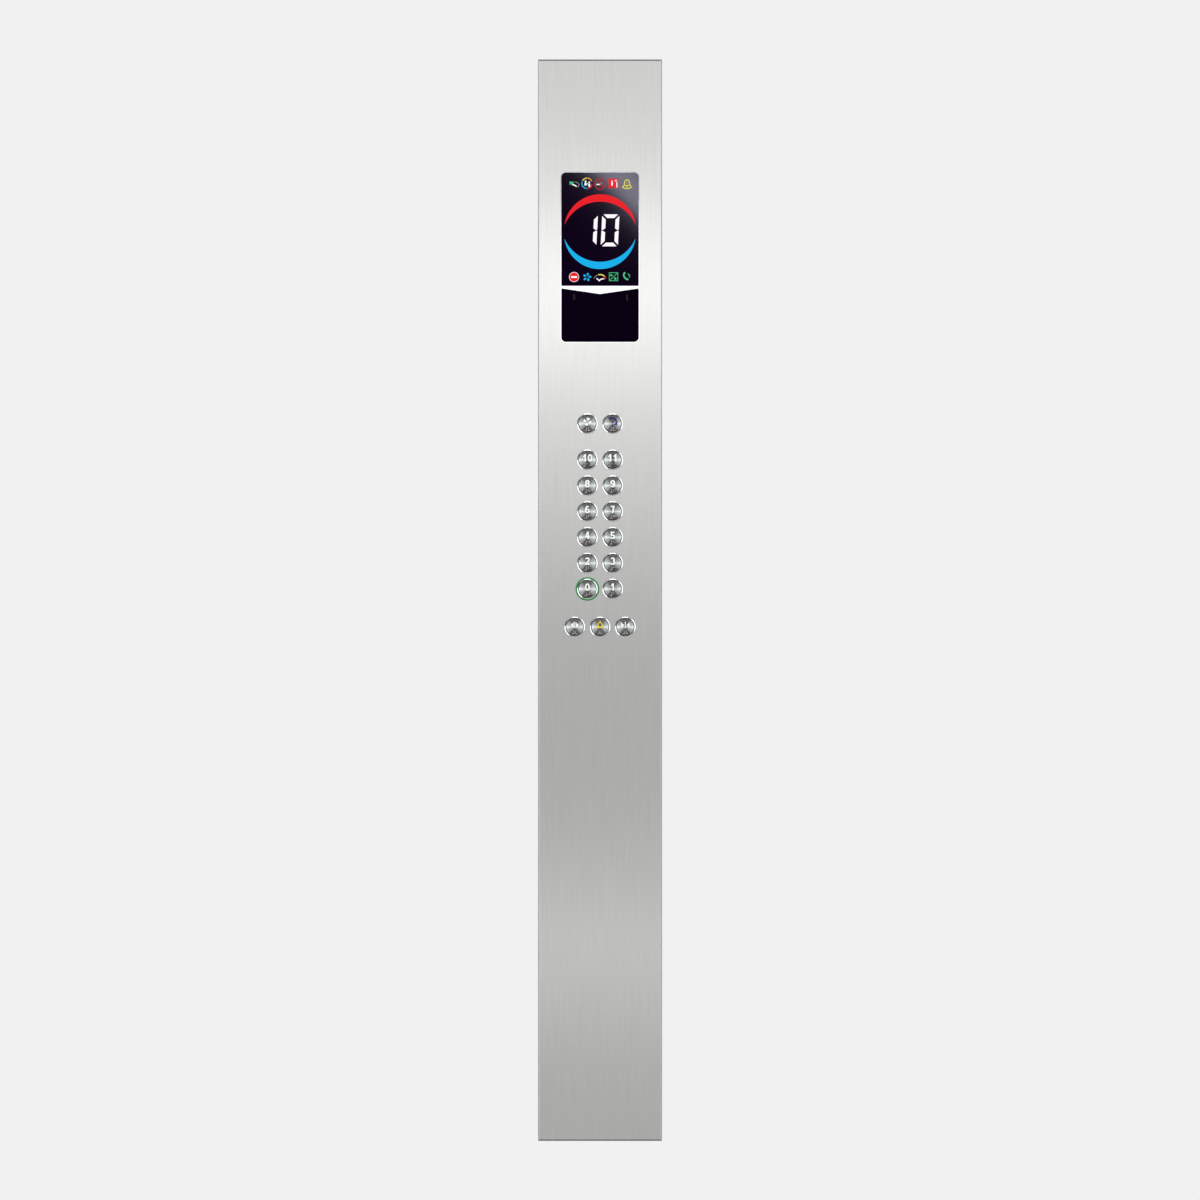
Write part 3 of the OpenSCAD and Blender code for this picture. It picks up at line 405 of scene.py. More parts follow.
def rectangle(x, z, width, height, turn=0.0):
    """Outline of a rectangle about its centre, turned by degrees."""
    c, s = math.cos(math.radians(turn)), math.sin(math.radians(turn))
    a, b = width / 2, height / 2
    return [(x + u * c - v * s, z + u * s + v * c) for u, v in ((-a, -b), (a, -b), (a, b), (-a, b))]


def stroke(mesh, points, width, front, tone=0, closed=False, depth=PLATE):
    """A line of even width through the points as one closed thin plate, mitred at each bend."""
    last = len(points) - 1
    rows = []
    for i, (x, z) in enumerate(points):
        before = points[i - 1] if i or closed else None
        after = points[0 if i == last else i + 1] if i < last or closed else None
        ways = []
        for a, b in ((before, (x, z)), ((x, z), after)):
            if a and b:
                ways.append(Vector((b[0] - a[0], b[1] - a[1])).normalized())
        mean = sum(ways, Vector((0, 0))).normalized()
        side = Vector((-mean.y, mean.x))
        lean = max(0.5, abs(side.dot(Vector((-ways[0].y, ways[0].x)))))
        side *= width / 2 / lean
        left, right = (x + side.x, z + side.y), (x - side.x, z - side.y)
        corners = ((left, front), (right, front), (right, front + depth), (left, front + depth))
        rows.append([mesh.verts.new((a, y, b)) for (a, b), y in corners])
    for one, two in list(zip(rows, rows[1:])) + ([(rows[-1], rows[0])] if closed else []):
        for k in range(4):
            m = (k + 1) % 4
            mesh.faces.new((one[k], one[m], two[m], two[k])).material_index = tone
    if not closed:
        mesh.faces.new(rows[0]).material_index = tone
        mesh.faces.new(rows[-1][::-1]).material_index = tone


def placed(name, data):
    """A new object in the scene."""
    thing = bpy.data.objects.new(name, data)
    bpy.context.scene.collection.objects.link(thing)
    return thing


def carry(name, data, body):
    """Puts a finished piece in the scene, on its body."""
    thing = placed(name, data)
    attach(thing, body)


def piece(name, mesh, materials, body):
    """Makes the mesh an object that rides on a body."""
    bmesh.ops.remove_doubles(mesh, verts=mesh.verts, dist=1e-7)
    bmesh.ops.recalc_face_normals(mesh, faces=mesh.faces)
    data = bpy.data.meshes.new(name)
    mesh.to_mesh(data)
    mesh.free()
    for made in materials:
        data.materials.append(made)
    carry(name, data, body)


# Numerals and symbols on the caps

def figure(mesh, mark, x, z, height, front):
    """One bold figure, 0 to 9, centred at x, z: bands along centre lines and plain outlines, each a layer."""
    w = height * 0.19                       # stroke
    top = height / 2
    h = top - w / 2                         # centre lines end half a stroke inside the figure's height
    r = height * 0.222                      # half width of the figure's centre lines
    low, high = h * 0.54, h * 0.46          # half heights of a lower and an upper bowl
    bar, reach = -0.42 * h, 1.35 * r        # height and half length of the 4's bar
    upright = 0.45 * r                      # place of the 4's upright
    post = 0.28 * r                         # place of the 1's upright
    stem = -0.82 * r                        # place of the 5's upright

    def oval(cz, rx, rz, start, end, steps=20):
        turns = [math.radians(start + (end - start) * i / steps) for i in range(steps + 1)]
        return [(rx * math.cos(a), cz + rz * math.sin(a)) for a in turns]

    def box(left, bottom, right, upper):
        return [(left, bottom), (right, bottom), (right, upper), (left, upper)]

    hook = oval(0, r, h, 48, 180) + [(-r, low - h)]
    loops = {"0": [oval(0, r, h, 0, 342)],
             "6": [oval(low - h, r, low, 0, 342)],
             "8": [oval(low - h, r, low, 0, 342), oval(h - high, r * 0.9, high, 0, 342)],
             "9": [oval(h - low, r, low, 0, 342)]}
    bands = {"2": [oval(h - high, r, high, 165, -25) + [(-0.84 * r, 0.1 * w - h)]],
             "3": [oval(h - high, r * 0.9, high, 155, -78), oval(low - h, r, low, 80, -158)],
             "5": [oval(low - h, r, low, 143, -158)],
             "6": [hook],
             "9": [[(-a, -b) for a, b in hook]]}
    flag = [(post, top), (post - 0.35 * w, top), (-r, 0.6 * h), (-r, 0.6 * h - 0.9 * w), (post, 0.5 * h)]
    slope = [(upright, top), (upright - 0.6 * w, top), (-reach, bar + w / 2), (0.95 * w - reach, bar + w / 2)]
    leg = [(1.2 * r, top), (1.2 * r - 1.1 * w, top), (-0.6 * r, -top), (1.08 * w - 0.6 * r, -top)]
    outlines = {"1": [box(post - w / 2, -top, post + w / 2, top), flag],
                "2": [box(-r - 0.4 * w, -top, 1.2 * r, w - top)],
                "4": [box(upright - w / 2, -top, upright + w / 2, top),
                      box(-reach, bar - w / 2, reach, bar + w / 2), slope],
                "5": [box(stem - w / 2, top - w, 1.1 * r, top),
                      box(stem - w / 2, -0.22 * h, stem + w / 2, top)],
                "7": [box(-1.2 * r, top - w, 1.2 * r, top), leg]}
    layer = 0
    for drawn, kind in ((loops, "loop"), (bands, "band"), (outlines, "outline")):
        for points in drawn.get(mark, []):
            line = [(x + a, z + b) for a, b in points]
            if kind == "outline":
                slab(mesh, line, front - layer * THIN)
            else:
                stroke(mesh, line, w, front - layer * THIN, closed=kind == "loop")
            layer += 1


FIGURE_HEIGHT = 14.4 * MM
FIGURE_STEP = 10.0 * MM     # between the two figures of a number
FIGURE_RISE = 3.9 * MM      # centre of a figure or symbol above the cap's centre
DOTS_DROP = 10.3 * MM       # top row of raised dots below the cap's centre
DOT_STEP, CELL_STEP = 2.6 * MM, 6.2 * MM
DIGIT_CELLS = {"1": "1", "2": "12", "3": "14", "4": "145", "5": "15",
               "6": "124", "7": "1245", "8": "125", "9": "24", "0": "245"}
NUMBER_SIGN = "3456"
PLAIN_CELLS = ["3456", "1236"]      # on the caps without a number, a plain pattern


def raised_dots(cells, x, z, front):
    """Centres of a row of cells' raised dots; dots 1 to 3 run down a cell's left side, 4 to 6 its right."""
    start = x - (len(cells) - 1) * CELL_STEP / 2
    places = []
    for i, cell in enumerate(cells):
        for dot in cell:
            column, row = divmod(int(dot) - 1, 3)
            right, up = (column - 0.5) * DOT_STEP, (1 - row) * DOT_STEP
            places.append((start + i * CELL_STEP + right, front, z + up))
    return places


def fan_mark(mesh, x, z, front):
    """Four blades, from 0.7 to 7.7 mm out."""
    for turn in range(75, 435, 90):
        tip = arc(x, z, 0.7 * MM, turn, turn, 1)[:1]
        slab(mesh, tip + arc(x, z, 7.7 * MM, turn - 31, turn + 29, 8), front)


def handset_mark(mesh, x, z, front):
    """A bow with a block, 5 x 4 mm, across each end."""
    x, z = x - 1.9 * MM, z - 1.9 * MM
    start, end = -22, 112
    slab(mesh, part_ring(x, z, 7.9 * MM, 10.9 * MM, start, end, 20), front)
    for turn in (start, end):
        block = arc(x, z, 8.6 * MM, turn, turn, 1)[0]
        slab(mesh, rectangle(*block, 5.0 * MM, 4.0 * MM, turn), front - LAYER)


def doors_mark(mesh, x, z, front, base, tip):
    """An upright bar between two arrowheads, from base to tip on each side."""
    slab(mesh, rectangle(x, z, 1.7 * MM, 13 * MM), front)
    for s in (-1, 1):
        slab(mesh, [(x + s * base, z + 5.3 * MM), (x + s * tip, z), (x + s * base, z - 5.3 * MM)], front)


def bell_mark(mesh, x, z, front):
    """A bell's outline with its knob and a bar across the mouth."""
    half = [(-6.4, -5.2), (-3.9, -2.4), (-3.4, 1.6), (-1.9, 4.6)]
    bell = half + [(0, 5.8)] + [(-a, b) for a, b in half[::-1]]
    stroke(mesh, [(x + a * MM, z + b * MM) for a, b in bell], 1.9 * MM, front, closed=True)
    slab(mesh, disc(x, z + 6.9 * MM, 1.2 * MM), front - THIN)
    slab(mesh, rectangle(x, z - 3.9 * MM, 9.6 * MM, 2.0 * MM), front - THIN)


SYMBOLS = {"fan": (fan_mark, WHITE_ENAMEL),
           "call": (handset_mark, BLUE_ENAMEL),
           "alarm": (bell_mark, YELLOW_ENAMEL),
           "door_open": (doors_mark, WHITE_ENAMEL, 2.1 * MM, 7.9 * MM),
           "door_close": (doors_mark, WHITE_ENAMEL, 8.1 * MM, 2.3 * MM)}


def cap_marks(node):
    """The enamel figure or symbol on one cap."""
    x, z, face = middle(node)
    z += FIGURE_RISE
    mesh = bmesh.new()
    kind = node.removeprefix("cap_")
    if kind in SYMBOLS:
        draw, paint, *sizes = SYMBOLS[kind]
        draw(mesh, x, z, face - LAYER, *sizes)
    else:
        paint = WHITE_ENAMEL
        digits = kind.removeprefix("floor_")
        for i, mark in enumerate(digits):
            figure(mesh, mark, x + (i - (len(digits) - 1) / 2) * FIGURE_STEP, z, FIGURE_HEIGHT, face - LAYER)
    piece("mark_" + kind, mesh, [paint], node.replace("cap_", "button_"))


for node in CAPS:
    cap_marks(node)


# Display: what the upper lens shows, lit from behind

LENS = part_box("upper_lens")[0][1] - LAYER


def bow(tip_left, tip_right, apex, steps=40):
    """Points of the arc from one tip over the apex to the other."""
    half = (tip_right[0] - tip_left[0]) / 2
    rise = apex - tip_left[1]
    radius = (half * half + rise * rise) / (2 * rise)
    cx, cz = (tip_left[0] + tip_right[0]) / 2, apex - radius
    start = math.atan2(tip_left[1] - cz, tip_left[0] - cx)
    end = math.atan2(tip_right[1] - cz, tip_right[0] - cx)
    if rise > 0 and end > start:
        end -= 2 * math.pi
    if rise < 0 and end < start:
        end += 2 * math.pi
    turns = [start + (end - start) * i / steps for i in range(steps + 1)]
    return [(cx + abs(radius) * math.cos(a), cz + abs(radius) * math.sin(a)) for a in turns]


def crescent(name, tone, tips_y, tips_x, outer_y, inner_y):
    """A crescent between two arcs that meet at its tips; sizes in the photograph's pixels."""
    left, right = (spot(x, tips_y) for x in tips_x)
    outer, inner = (bow(left, right, spot(0, y)[1]) for y in (outer_y, inner_y))
    mesh = bmesh.new()
    for i in range(len(outer) - 1):
        quad = [outer[i], outer[i + 1], inner[i + 1], inner[i]]
        corners = [p for k, p in enumerate(quad) if p != quad[k - 1]]
        if len(corners) > 2:
            slab(mesh, corners, LENS)
    piece(name, mesh, [LIT[tone]], "front_panel")


crescent("lit_arc_up", "red", tips_y=224.8, tips_x=(564.5, 635.8), outer_y=194.3, inner_y=201.6)
crescent("lit_arc_down", "blue", tips_y=238.5, tips_x=(564.3, 635.5), outer_y=269.1, inner_y=261.8)


def seven_segments():
    """The figures 1 and 0 of the floor display, in slanted segments; sizes in the photograph's pixels."""
    width, height, thick, foot = 17.2, 32.0, 3.7, 246.3
    one_left, zero_left = 579.1, 600.65
    mid = height / 2
    lean = math.tan(math.radians(2.9))
    side = [(0, mid + 0.7), (1.1, mid + 0.3), (thick, mid + 2.0), (thick, height - 1.6 - thick),
            (0, height - 1.6)]
    top = [(1.3 + thick, height - thick), (width - 1.3 - thick, height - thick), (width - 1.3, height),
           (1.3, height)]
    lower_left = [(a, height - b) for a, b in side]
    upper_right = [(width - a, b) for a, b in side]
    lower_right = [(width - a, height - b) for a, b in side]
    bottom = [(a, height - b) for a, b in top]
    mesh = bmesh.new()
    for left, segments in ((one_left, (upper_right, lower_right)),
                           (zero_left, (side, lower_left, upper_right, lower_right, top, bottom))):
        for outline in segments:
            slab(mesh, [spot(left + a + b * lean, foot - b) for a, b in outline], LENS)
    piece("lit_floor_figures", mesh, [LIT["white"]], "front_panel")


seven_segments()


# Icons: their centres in the photograph's pixels, and points measured from the centre, to the right and down
COLUMNS = (574.0, 587.0, 600.0, 613.5, 627.0)
UPPER_ROW, LOWER_ROW = 184.0, 277.0


def fan_blades():
    """Five blades round a point a tenth of a pixel right of the centre and below it."""
    blade = ((0.9, 0.0), (2.4, -0.42), (4.0, -0.26), (4.3, 0.08), (3.5, 0.34), (2.2, 0.36))
    turns = [math.radians(72 * k - 5) for k in range(5)]
    return [("fill", [(0.1 + r * math.cos(a + t), 0.1 + r * math.sin(a + t)) for r, t in blade], 0, 0)
            for a in turns]


# Each icon has a name, its colours, and shapes: kind, measures, which colour, and layer. A fill has its
# points, a line or a closed loop its width and points, a disc its centre and radius, and a ring or an arc its
# centre, two radii and, for an arc, its start and end in degrees.
UPPER_ICONS = [
    ("card_in_hand", ("green", "white", "grey"), [
        ("fill", [(-4.4, -2.6), (-0.4, -2.1), (-0.6, 0), (-4.3, 0.8)], 0, 0),
        ("line", (1.2, [(-1.8, 0.6), (0.2, 0.9), (2.6, 2.5)]), 1, 1),
        ("line", (0.7, [(0.6, -2.1), (3, -1.6), (5.3, 0.5), (4.2, 2.6), (2.9, 2.7)]), 2, 0)]),
    ("seat_priority", ("orange", "blue", "red", "white", "yellow"), [
        ("arc", (0, -0.7, 4.7, 5.7, 92, 150), 4, 0),
        ("arc", (0, -0.7, 4.7, 5.7, 25, 88), 0, 0),
        ("arc", (0, -0.7, 4.7, 5.7, 160, 268), 1, 0),
        ("arc", (0, -0.7, 4.7, 5.7, 275, 345), 2, 0),
        ("disc", (-1.4, -2.6, 0.9), 3, 0),
        ("fill", [(-2.4, -1.4), (-0.6, -1.4), (-0.1, 1.4), (-2.7, 1.4)], 3, 0),
        ("disc", (2.2, -1.7, 0.8), 3, 0),
        ("fill", [(1.5, -0.5), (3, -0.5), (3.3, 2.8), (1.3, 2.8)], 3, 0),
        ("line", (0.6, [(0.2, -1), (1.4, 0.6)]), 3, 1)]),
    ("no_smoking", ("dark_red", "white", "grey"), [
        ("ring", (0.1, 0.1, 4.7, 5.7), 0, 0),
        ("line", (0.9, [(-3.4, -3.4), (3.8, 3.7)]), 0, 1),
        ("fill", [(-3.5, -0.2), (0, -0.2), (0, 1), (-3.5, 1)], 1, 0),
        ("line", (1, [(0.2, -1.8), (2.8, 0.2)]), 2, 0)]),
    ("no_lift_in_fire", ("red", "white"), [
        ("fill", [(-5, -5.4), (4.4, -5.4), (4.4, 4.1), (-5, 4.1)], 0, 0),
        ("disc", (-1.5, -3, 0.7), 1, 1),
        ("fill", [(-2.4, -1.9), (-0.5, -1.9), (-0.9, 1.9), (-2.1, 1.9)], 1, 1),
        ("fill", [(1, -2.8), (2.4, -4.5), (3.8, -2.8)], 1, 1),
        ("line", (1, [(3.2, -1.8), (3.4, 0.4), (3.3, 3.4)]), 1, 1)]),
    ("alarm_bell", ("yellow",), [
        ("loop", (1, [(-4.5, 3.1), (-2.7, 1.2), (-2.4, -1.8), (-1.6, -3.5), (0, -4.4), (1.6, -3.5),
                      (2.5, -1.8), (2.8, 1.2), (4.6, 3.1), (2.2, 4.5), (-2.1, 4.5)]), 0, 0),
        ("line", (0.9, [(-2.3, 1.4), (2.4, 1.4)]), 0, 1),
        ("disc", (0, 2.9, 0.8), 0, 1),
        ("disc", (0, -1.3, 0.5), 0, 0)]),
]
LOWER_ICONS = [
    ("no_entry", ("red", "white"), [
        ("disc", (0, 0, 4.5), 0, 0),
        ("ring", (0, 0, 4.55, 5), 1, 0),
        ("fill", [(-3, -0.9), (3, -0.9), (3, 0.9), (-3, 0.9)], 1, 1)]),
    ("fan", ("blue",), fan_blades()),
    ("load_gauge", ("grey", "yellow", "red", "white"), [
        ("arc", (0.1, 4.2, 6.3, 6.9, 106, 156), 0, 0),
        ("arc", (0.1, 4.2, 6, 7.2, 48, 105), 1, 0),
        ("arc", (0.1, 4.2, 6, 7, 24, 47), 2, 0),
        ("line", (1.1, [(-3.6, 1.6), (-2.4, 2), (-0.8, 3.7), (1, 2.2), (4.2, 1.6)]), 3, 0)]),
    ("door_way", ("green",), [
        ("loop", (0.6, [(-4.2, -4.3), (4.3, -4.3), (4.3, 3.7), (-4.2, 3.7)]), 0, 0),
        ("line", (0.6, [(-3.9, 3.4), (4, -4)]), 0, 1),
        ("disc", (-2.2, -1.8, 1.1), 0, 2),
        ("disc", (1.8, 1.6, 1.3), 0, 2)]),
    ("call_handset", ("green",), [
        ("line", (1.5, [(-2.5, -4.1), (-3.3, -2.6), (-3.1, -0.8), (-2.1, 0.8), (-0.7, 2), (0.7, 2.4)]), 0, 0),
        ("disc", (-2.4, -4.1, 0.9), 0, 1),
        ("disc", (0.5, 2.3, 1), 0, 1),
        ("line", (0.8, [(0.8, -3.2), (2.1, -2.4), (2.7, -1), (2.3, 0.4)]), 0, 0)]),
]


def icon(x, y, name, tones, shapes):
    """A lit symbol with its centre at pixel x, y."""
    mesh = bmesh.new()
    for kind, data, tone, layer in shapes:
        front = LENS - layer * LAYER
        if kind == "fill":
            slab(mesh, [spot(x + a, y + b) for a, b in data], front, tone=tone)
        elif kind in ("line", "loop"):
            width, points = data
            stroke(mesh, [spot(x + a, y + b) for a, b in points], width * PIXEL, front, tone, kind == "loop")
        else:
            centre = spot(x + data[0], y + data[1])
            sizes = [size * PIXEL for size in data[2:4]]
            if kind == "ring":
                inner, outer = sizes
                back = front + PLATE
                section = ((inner, front), (outer, front), (outer, back), (inner, back))
                turned_ring(mesh, *centre, section, tone)
            elif kind == "arc":
                slab(mesh, part_ring(*centre, *sizes, *data[4:]), front, tone=tone)
            elif kind == "disc":
                slab(mesh, disc(*centre, *sizes), front, tone=tone)
    piece("lit_" + name, mesh, [LIT[t] for t in tones], "front_panel")


for y, row in ((UPPER_ROW, UPPER_ICONS), (LOWER_ROW, LOWER_ICONS)):
    for x, drawing in zip(COLUMNS, row):
        icon(x, y, *drawing)


FAINT_MARK_PLACES = ((574.2, 297.2), (627.0, 297.6))     # centres in the photograph's pixels
FAINT_MARK_WIDTH, FAINT_MARK_HEIGHT = 2.0 * PIXEL, 6.0 * PIXEL


def faint_lens_marks():
    """Two faint upright marks on the lower lens."""
    mesh = bmesh.new()
    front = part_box("lower_lens")[0][1] - LAYER
    for x, y in FAINT_MARK_PLACES:
        slab(mesh, rectangle(*spot(x, y), FAINT_MARK_WIDTH, FAINT_MARK_HEIGHT), front)
    piece("faint_lens_marks", mesh, [faint_lens_mark()], "front_panel")


faint_lens_marks()


# Geometry Nodes: what repeats is placed by a tree on the points of a small mesh

NUMBER, WHOLE, MATERIAL = "NodeSocketFloat", "NodeSocketInt", "NodeSocketMaterial"


def tree_of(name, inputs):
    """A node group for a modifier: Geometry in and out, and named inputs for sizes and the material."""
    group = bpy.data.node_groups.new(name, "GeometryNodeTree")
    group.interface.new_socket("Geometry", in_out="INPUT", socket_type="NodeSocketGeometry")
    group.interface.new_socket("Geometry", in_out="OUTPUT", socket_type="NodeSocketGeometry")
    for label, (kind, value) in inputs.items():
        group.interface.new_socket(label, in_out="INPUT", socket_type=kind).default_value = value
    group.interface.new_socket("Finish", in_out="INPUT", socket_type=MATERIAL)
    start = add(group, "NodeGroupInput")
    return group, start, start.outputs


def close_tree(group, start, part, **more):
    """Puts the part on the points; every tree ends in Realize Instances and Set Material."""
    many = add(group, "GeometryNodeInstanceOnPoints", {"Points": start, "Instance": part, **more})
    real = add(group, "GeometryNodeRealizeInstances", {0: many})
    dressed = add(group, "GeometryNodeSetMaterial", {"Geometry": real, "Material": start.outputs["Finish"]})
    add(group, "NodeGroupOutput", {0: dressed})
    return group


def dome_tree():
    """Low domes at the points: raised dots, weld dimples, terminal screws."""
    group, start, given = tree_of("domes", {"Radius": (NUMBER, 0.75 * MM), "Height": (NUMBER, 0.45 * MM)})
    ball = add(group, "GeometryNodeMeshUVSphere", {"Segments": 12, "Rings": 8, "Radius": 1.0})
    size = add(group, XYZ, {0: given["Radius"], 1: given["Height"], 2: given["Radius"]})
    return close_tree(group, start, ball, Scale=size)


def thread_tree():
    """A rolled thread round each stud: a helix with a small ridge."""
    group, start, given = tree_of("threads", {"Radius": (NUMBER, 2 * MM), "Pitch": (NUMBER, 0.8 * MM),
                                              "Length": (NUMBER, 8 * MM)})
    turns = add(group, MATH, {"operation": "DIVIDE", 0: given["Length"], 1: given["Pitch"]})
    helix = add(group, "GeometryNodeCurveSpiral",
                {"Resolution": 14, "Rotations": turns, "Height": given["Length"],
                 "Start Radius": given["Radius"], "End Radius": given["Radius"]})
    ridge = add(group, MATH, {"operation": "MULTIPLY", 0: given["Pitch"], 1: 0.36})
    profile = add(group, "GeometryNodeCurvePrimitiveCircle", {"Resolution": 4, "Radius": ridge})
    wound = add(group, "GeometryNodeCurveToMesh",
                {"Curve": helix, "Profile Curve": profile, "Fill Caps": True})
    turned = add(group, "GeometryNodeTransform", {"Geometry": wound, "Rotation": (math.pi / 2, 0, 0)})
    return close_tree(group, start, turned)


def recess_shade_tree():
    """The cross recess in a pan head, drawn as a thin dark cross on its face: painted shade where the recess
    is.
    """
    group, start, given = tree_of("cross_recess_shades", {"Size": (NUMBER, 3.2 * MM)})
    width = add(group, MATH, {"operation": "MULTIPLY", 0: given["Size"], 1: 0.24})
    joined = add(group, "GeometryNodeJoinGeometry")
    for length_axis, width_axis in ((0, 2), (2, 0)):
        size = add(group, XYZ, {1: 0.12 * MM, length_axis: given["Size"], width_axis: width})
        bar = add(group, "GeometryNodeMeshCube", {"Size": size})
        group.links.new(bar.outputs[0], joined.inputs[0])
    return close_tree(group, start, joined)


def chip_tree():
    """Small parts soldered on a board: boxes of mixed sizes scattered over a face, none nearer than Gap."""
    group, start, given = tree_of("small_parts", {"Gap": (NUMBER, 6 * MM), "Seed": (WHOLE, 3),
                                                  "Length": (NUMBER, 2.6 * MM)})
    points = add(group, "GeometryNodeDistributePointsOnFaces",
                 {"distribute_method": "POISSON", "Mesh": start, "Distance Min": given["Gap"],
                  "Density Max": 20000.0, "Seed": given["Seed"]})
    long = add(group, MATH, {"operation": "MULTIPLY", 0: given["Length"], 1: 1.7})
    low = add(group, XYZ, {0: given["Length"], 1: 0.7 * MM, 2: given["Length"]})
    high = add(group, XYZ, {0: long, 1: 1.4 * MM, 2: long})
    size = add(group, "FunctionNodeRandomValue", {"data_type": "FLOAT_VECTOR", 0: low, 1: high,
                                                  "Seed": given["Seed"]})
    chip = add(group, "GeometryNodeMeshCube", {"Size": (1, 1, 1)})
    return close_tree(group, start, chip, Points=points, Scale=size)


def lead_tree():
    """The leads that stand in rows beside a chip."""
    group, start, given = tree_of("chip_leads", {"Thickness": (NUMBER, 0.9 * MM), "Length": (NUMBER, 4 * MM)})
    size = add(group, XYZ, {0: given["Thickness"], 1: given["Length"], 2: given["Thickness"]})
    return close_tree(group, start, add(group, "GeometryNodeMeshCube", {"Size": size}))


def grown(name, group, points, body, slot, faces=(), **inputs):
    """Runs a tree on a mesh of points and keeps the result as a plain mesh that rides on a body."""
    base = bpy.data.meshes.new(name + "_points")
    base.from_pydata(points, [], faces)
    carrier = placed(name + "_points", base)
    modifier = carrier.modifiers.new("grow", "NODES")
    modifier.node_group = group
    for item in group.interface.items_tree:
        if item.item_type == "SOCKET" and item.in_out == "INPUT" and item.name in inputs:
            modifier[item.identifier] = inputs[item.name]
    bpy.context.view_layer.update()
    graph = bpy.context.evaluated_depsgraph_get()
    data = bpy.data.meshes.new_from_object(carrier.evaluated_get(graph), preserve_all_data_layers=True,
                                           depsgraph=graph)
    data.name = name
    carrier.modifiers.clear()
    bpy.data.objects.remove(carrier)
    carry(name, data, body)


def solids_of(node):
    """Lowest and highest corner of each separate solid in a CAD node."""
    copy = bmesh.new()
    copy.from_mesh(NODES[node].data)
    bmesh.ops.remove_doubles(copy, verts=copy.verts, dist=1e-6)
    seen, boxes = set(), []
    for vert in copy.verts:
        if vert in seen:
            continue
        stack, group = [vert], []
        seen.add(vert)
        while stack:
            one = stack.pop()
            group.append(one.co.copy())
            for edge in one.link_edges:
                two = edge.other_vert(one)
                if two not in seen:
                    seen.add(two)
                    stack.append(two)
        boxes.append(tuple(Vector([end(c[k] for c in group) for k in range(3)]) for end in (min, max)))
    copy.free()
    return sorted(boxes, key=lambda b: (round(b[0].z, 5), round(b[0].x, 5), round(b[0].y, 5)))


DOMES, THREADS, RECESS_SHADES, CHIPS, LEADS = dome_tree(), thread_tree(), recess_shade_tree(), chip_tree(), lead_tree()

# Raised dots on the caps: the number sign and the floor's digits, and a plain pattern on the others
for node in CAPS:
    x, z, front = middle(node)
    kind = node.removeprefix("cap_")
    cells = PLAIN_CELLS
    if kind.startswith("floor_"):
        cells = [NUMBER_SIGN] + [DIGIT_CELLS[digit] for digit in kind.removeprefix("floor_")]
    grown("dots_" + kind, DOMES, raised_dots(cells, x, z - DOTS_DROP, front), node.replace("cap_", "button_"),
          "bright_steel", Radius=0.9 * MM, Height=0.5 * MM, Finish=SATIN)


def gap_shade_seals():
    """Soft black seal between each cap and its bezel, its lip a little below the cap's face; its black is
    painted shade for the gap round each cap.
    """
    mesh = bmesh.new()
    bezels = [v.co for v in NODES["button_bezels"].data.vertices]
    for node in CAPS:
        x, z, front = middle(node)
        low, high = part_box(node)
        inner = (high[0] - low[0]) / 2 + 0.04 * MM
        bore = min(d for d in (math.hypot(c.x - x, c.z - z) for c in bezels) if d > inner)
        lip, rim = (inner + bore) / 2, bore - 0.02 * MM
        # Each radius with its depth below the cap's face, in mm
        section = ((inner, 1.5), (lip, 0.9), (rim, 1.2), (rim, 3.0), (inner, 3.0))
        turned_ring(mesh, x, z, [(r, front + deep * MM) for r, deep in section], steps=48)
    # The black seals stand in for the shadow in the gaps between caps and bezels: painted shade.
    piece("button_gap_shade_seals", mesh, [MATERIALS["buffer_rubber"]], "front_panel")


def reader_coil():
    """Antenna of the card reader, etched on the back of its board: seven turns, 1 mm wide and 2 mm apart."""
    low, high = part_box("card_reader_board")
    x, z = (low[0] + high[0]) / 2, (low[2] + high[2]) / 2
    pitch = 2 * MM
    points = []
    for n in range(7):
        w, h = 64 * MM - n * pitch, 36 * MM - n * pitch
        points += [(x - w + (pitch if n else 0), z - h), (x + w, z - h),
                   (x + w, z + h - pitch), (x - w + pitch, z + h - pitch)]
    mesh = bmesh.new()
    stroke(mesh, points, 1 * MM, high[1] - 0.1 * MM, depth=0.17 * MM)
    piece("reader_antenna", mesh, [COPPER], "front_panel")


def can_tops():
    """Bare aluminium tops of the four capacitors on the control board, each scored with a cross drawn in
    black: painted shade in the score.
    """
    mesh = bmesh.new()
    for low, high in solids_of("board_parts"):
        wide, tall, deep = high.x - low.x, high.z - low.z, high.y - low.y
        if abs(wide - tall) < 0.5 * MM and deep > 15 * MM:
            x, z, r = (low.x + high.x) / 2, (low.z + high.z) / 2, wide / 2 - 0.8 * MM
            slab(mesh, disc(x, z, r), low.y - 0.06 * MM, 0.2 * MM)
            # The black cross is painted shade in the scored grooves.
            for k, turn in enumerate((45, 135)):
                score = rectangle(x, z, 1.5 * r, 0.5 * MM, turn)
                slab(mesh, score, low.y - (0.09 + 0.01 * k) * MM, 0.1 * MM, 1)
    piece("capacitor_tops", mesh, [TIN, COMPONENT], "wall_box")


def rows(start, end, step):
    """Places from start to end, about step apart."""
    count = max(1, round((end - start) / step))
    return [start + (end - start) * i / count for i in range(count + 1)]


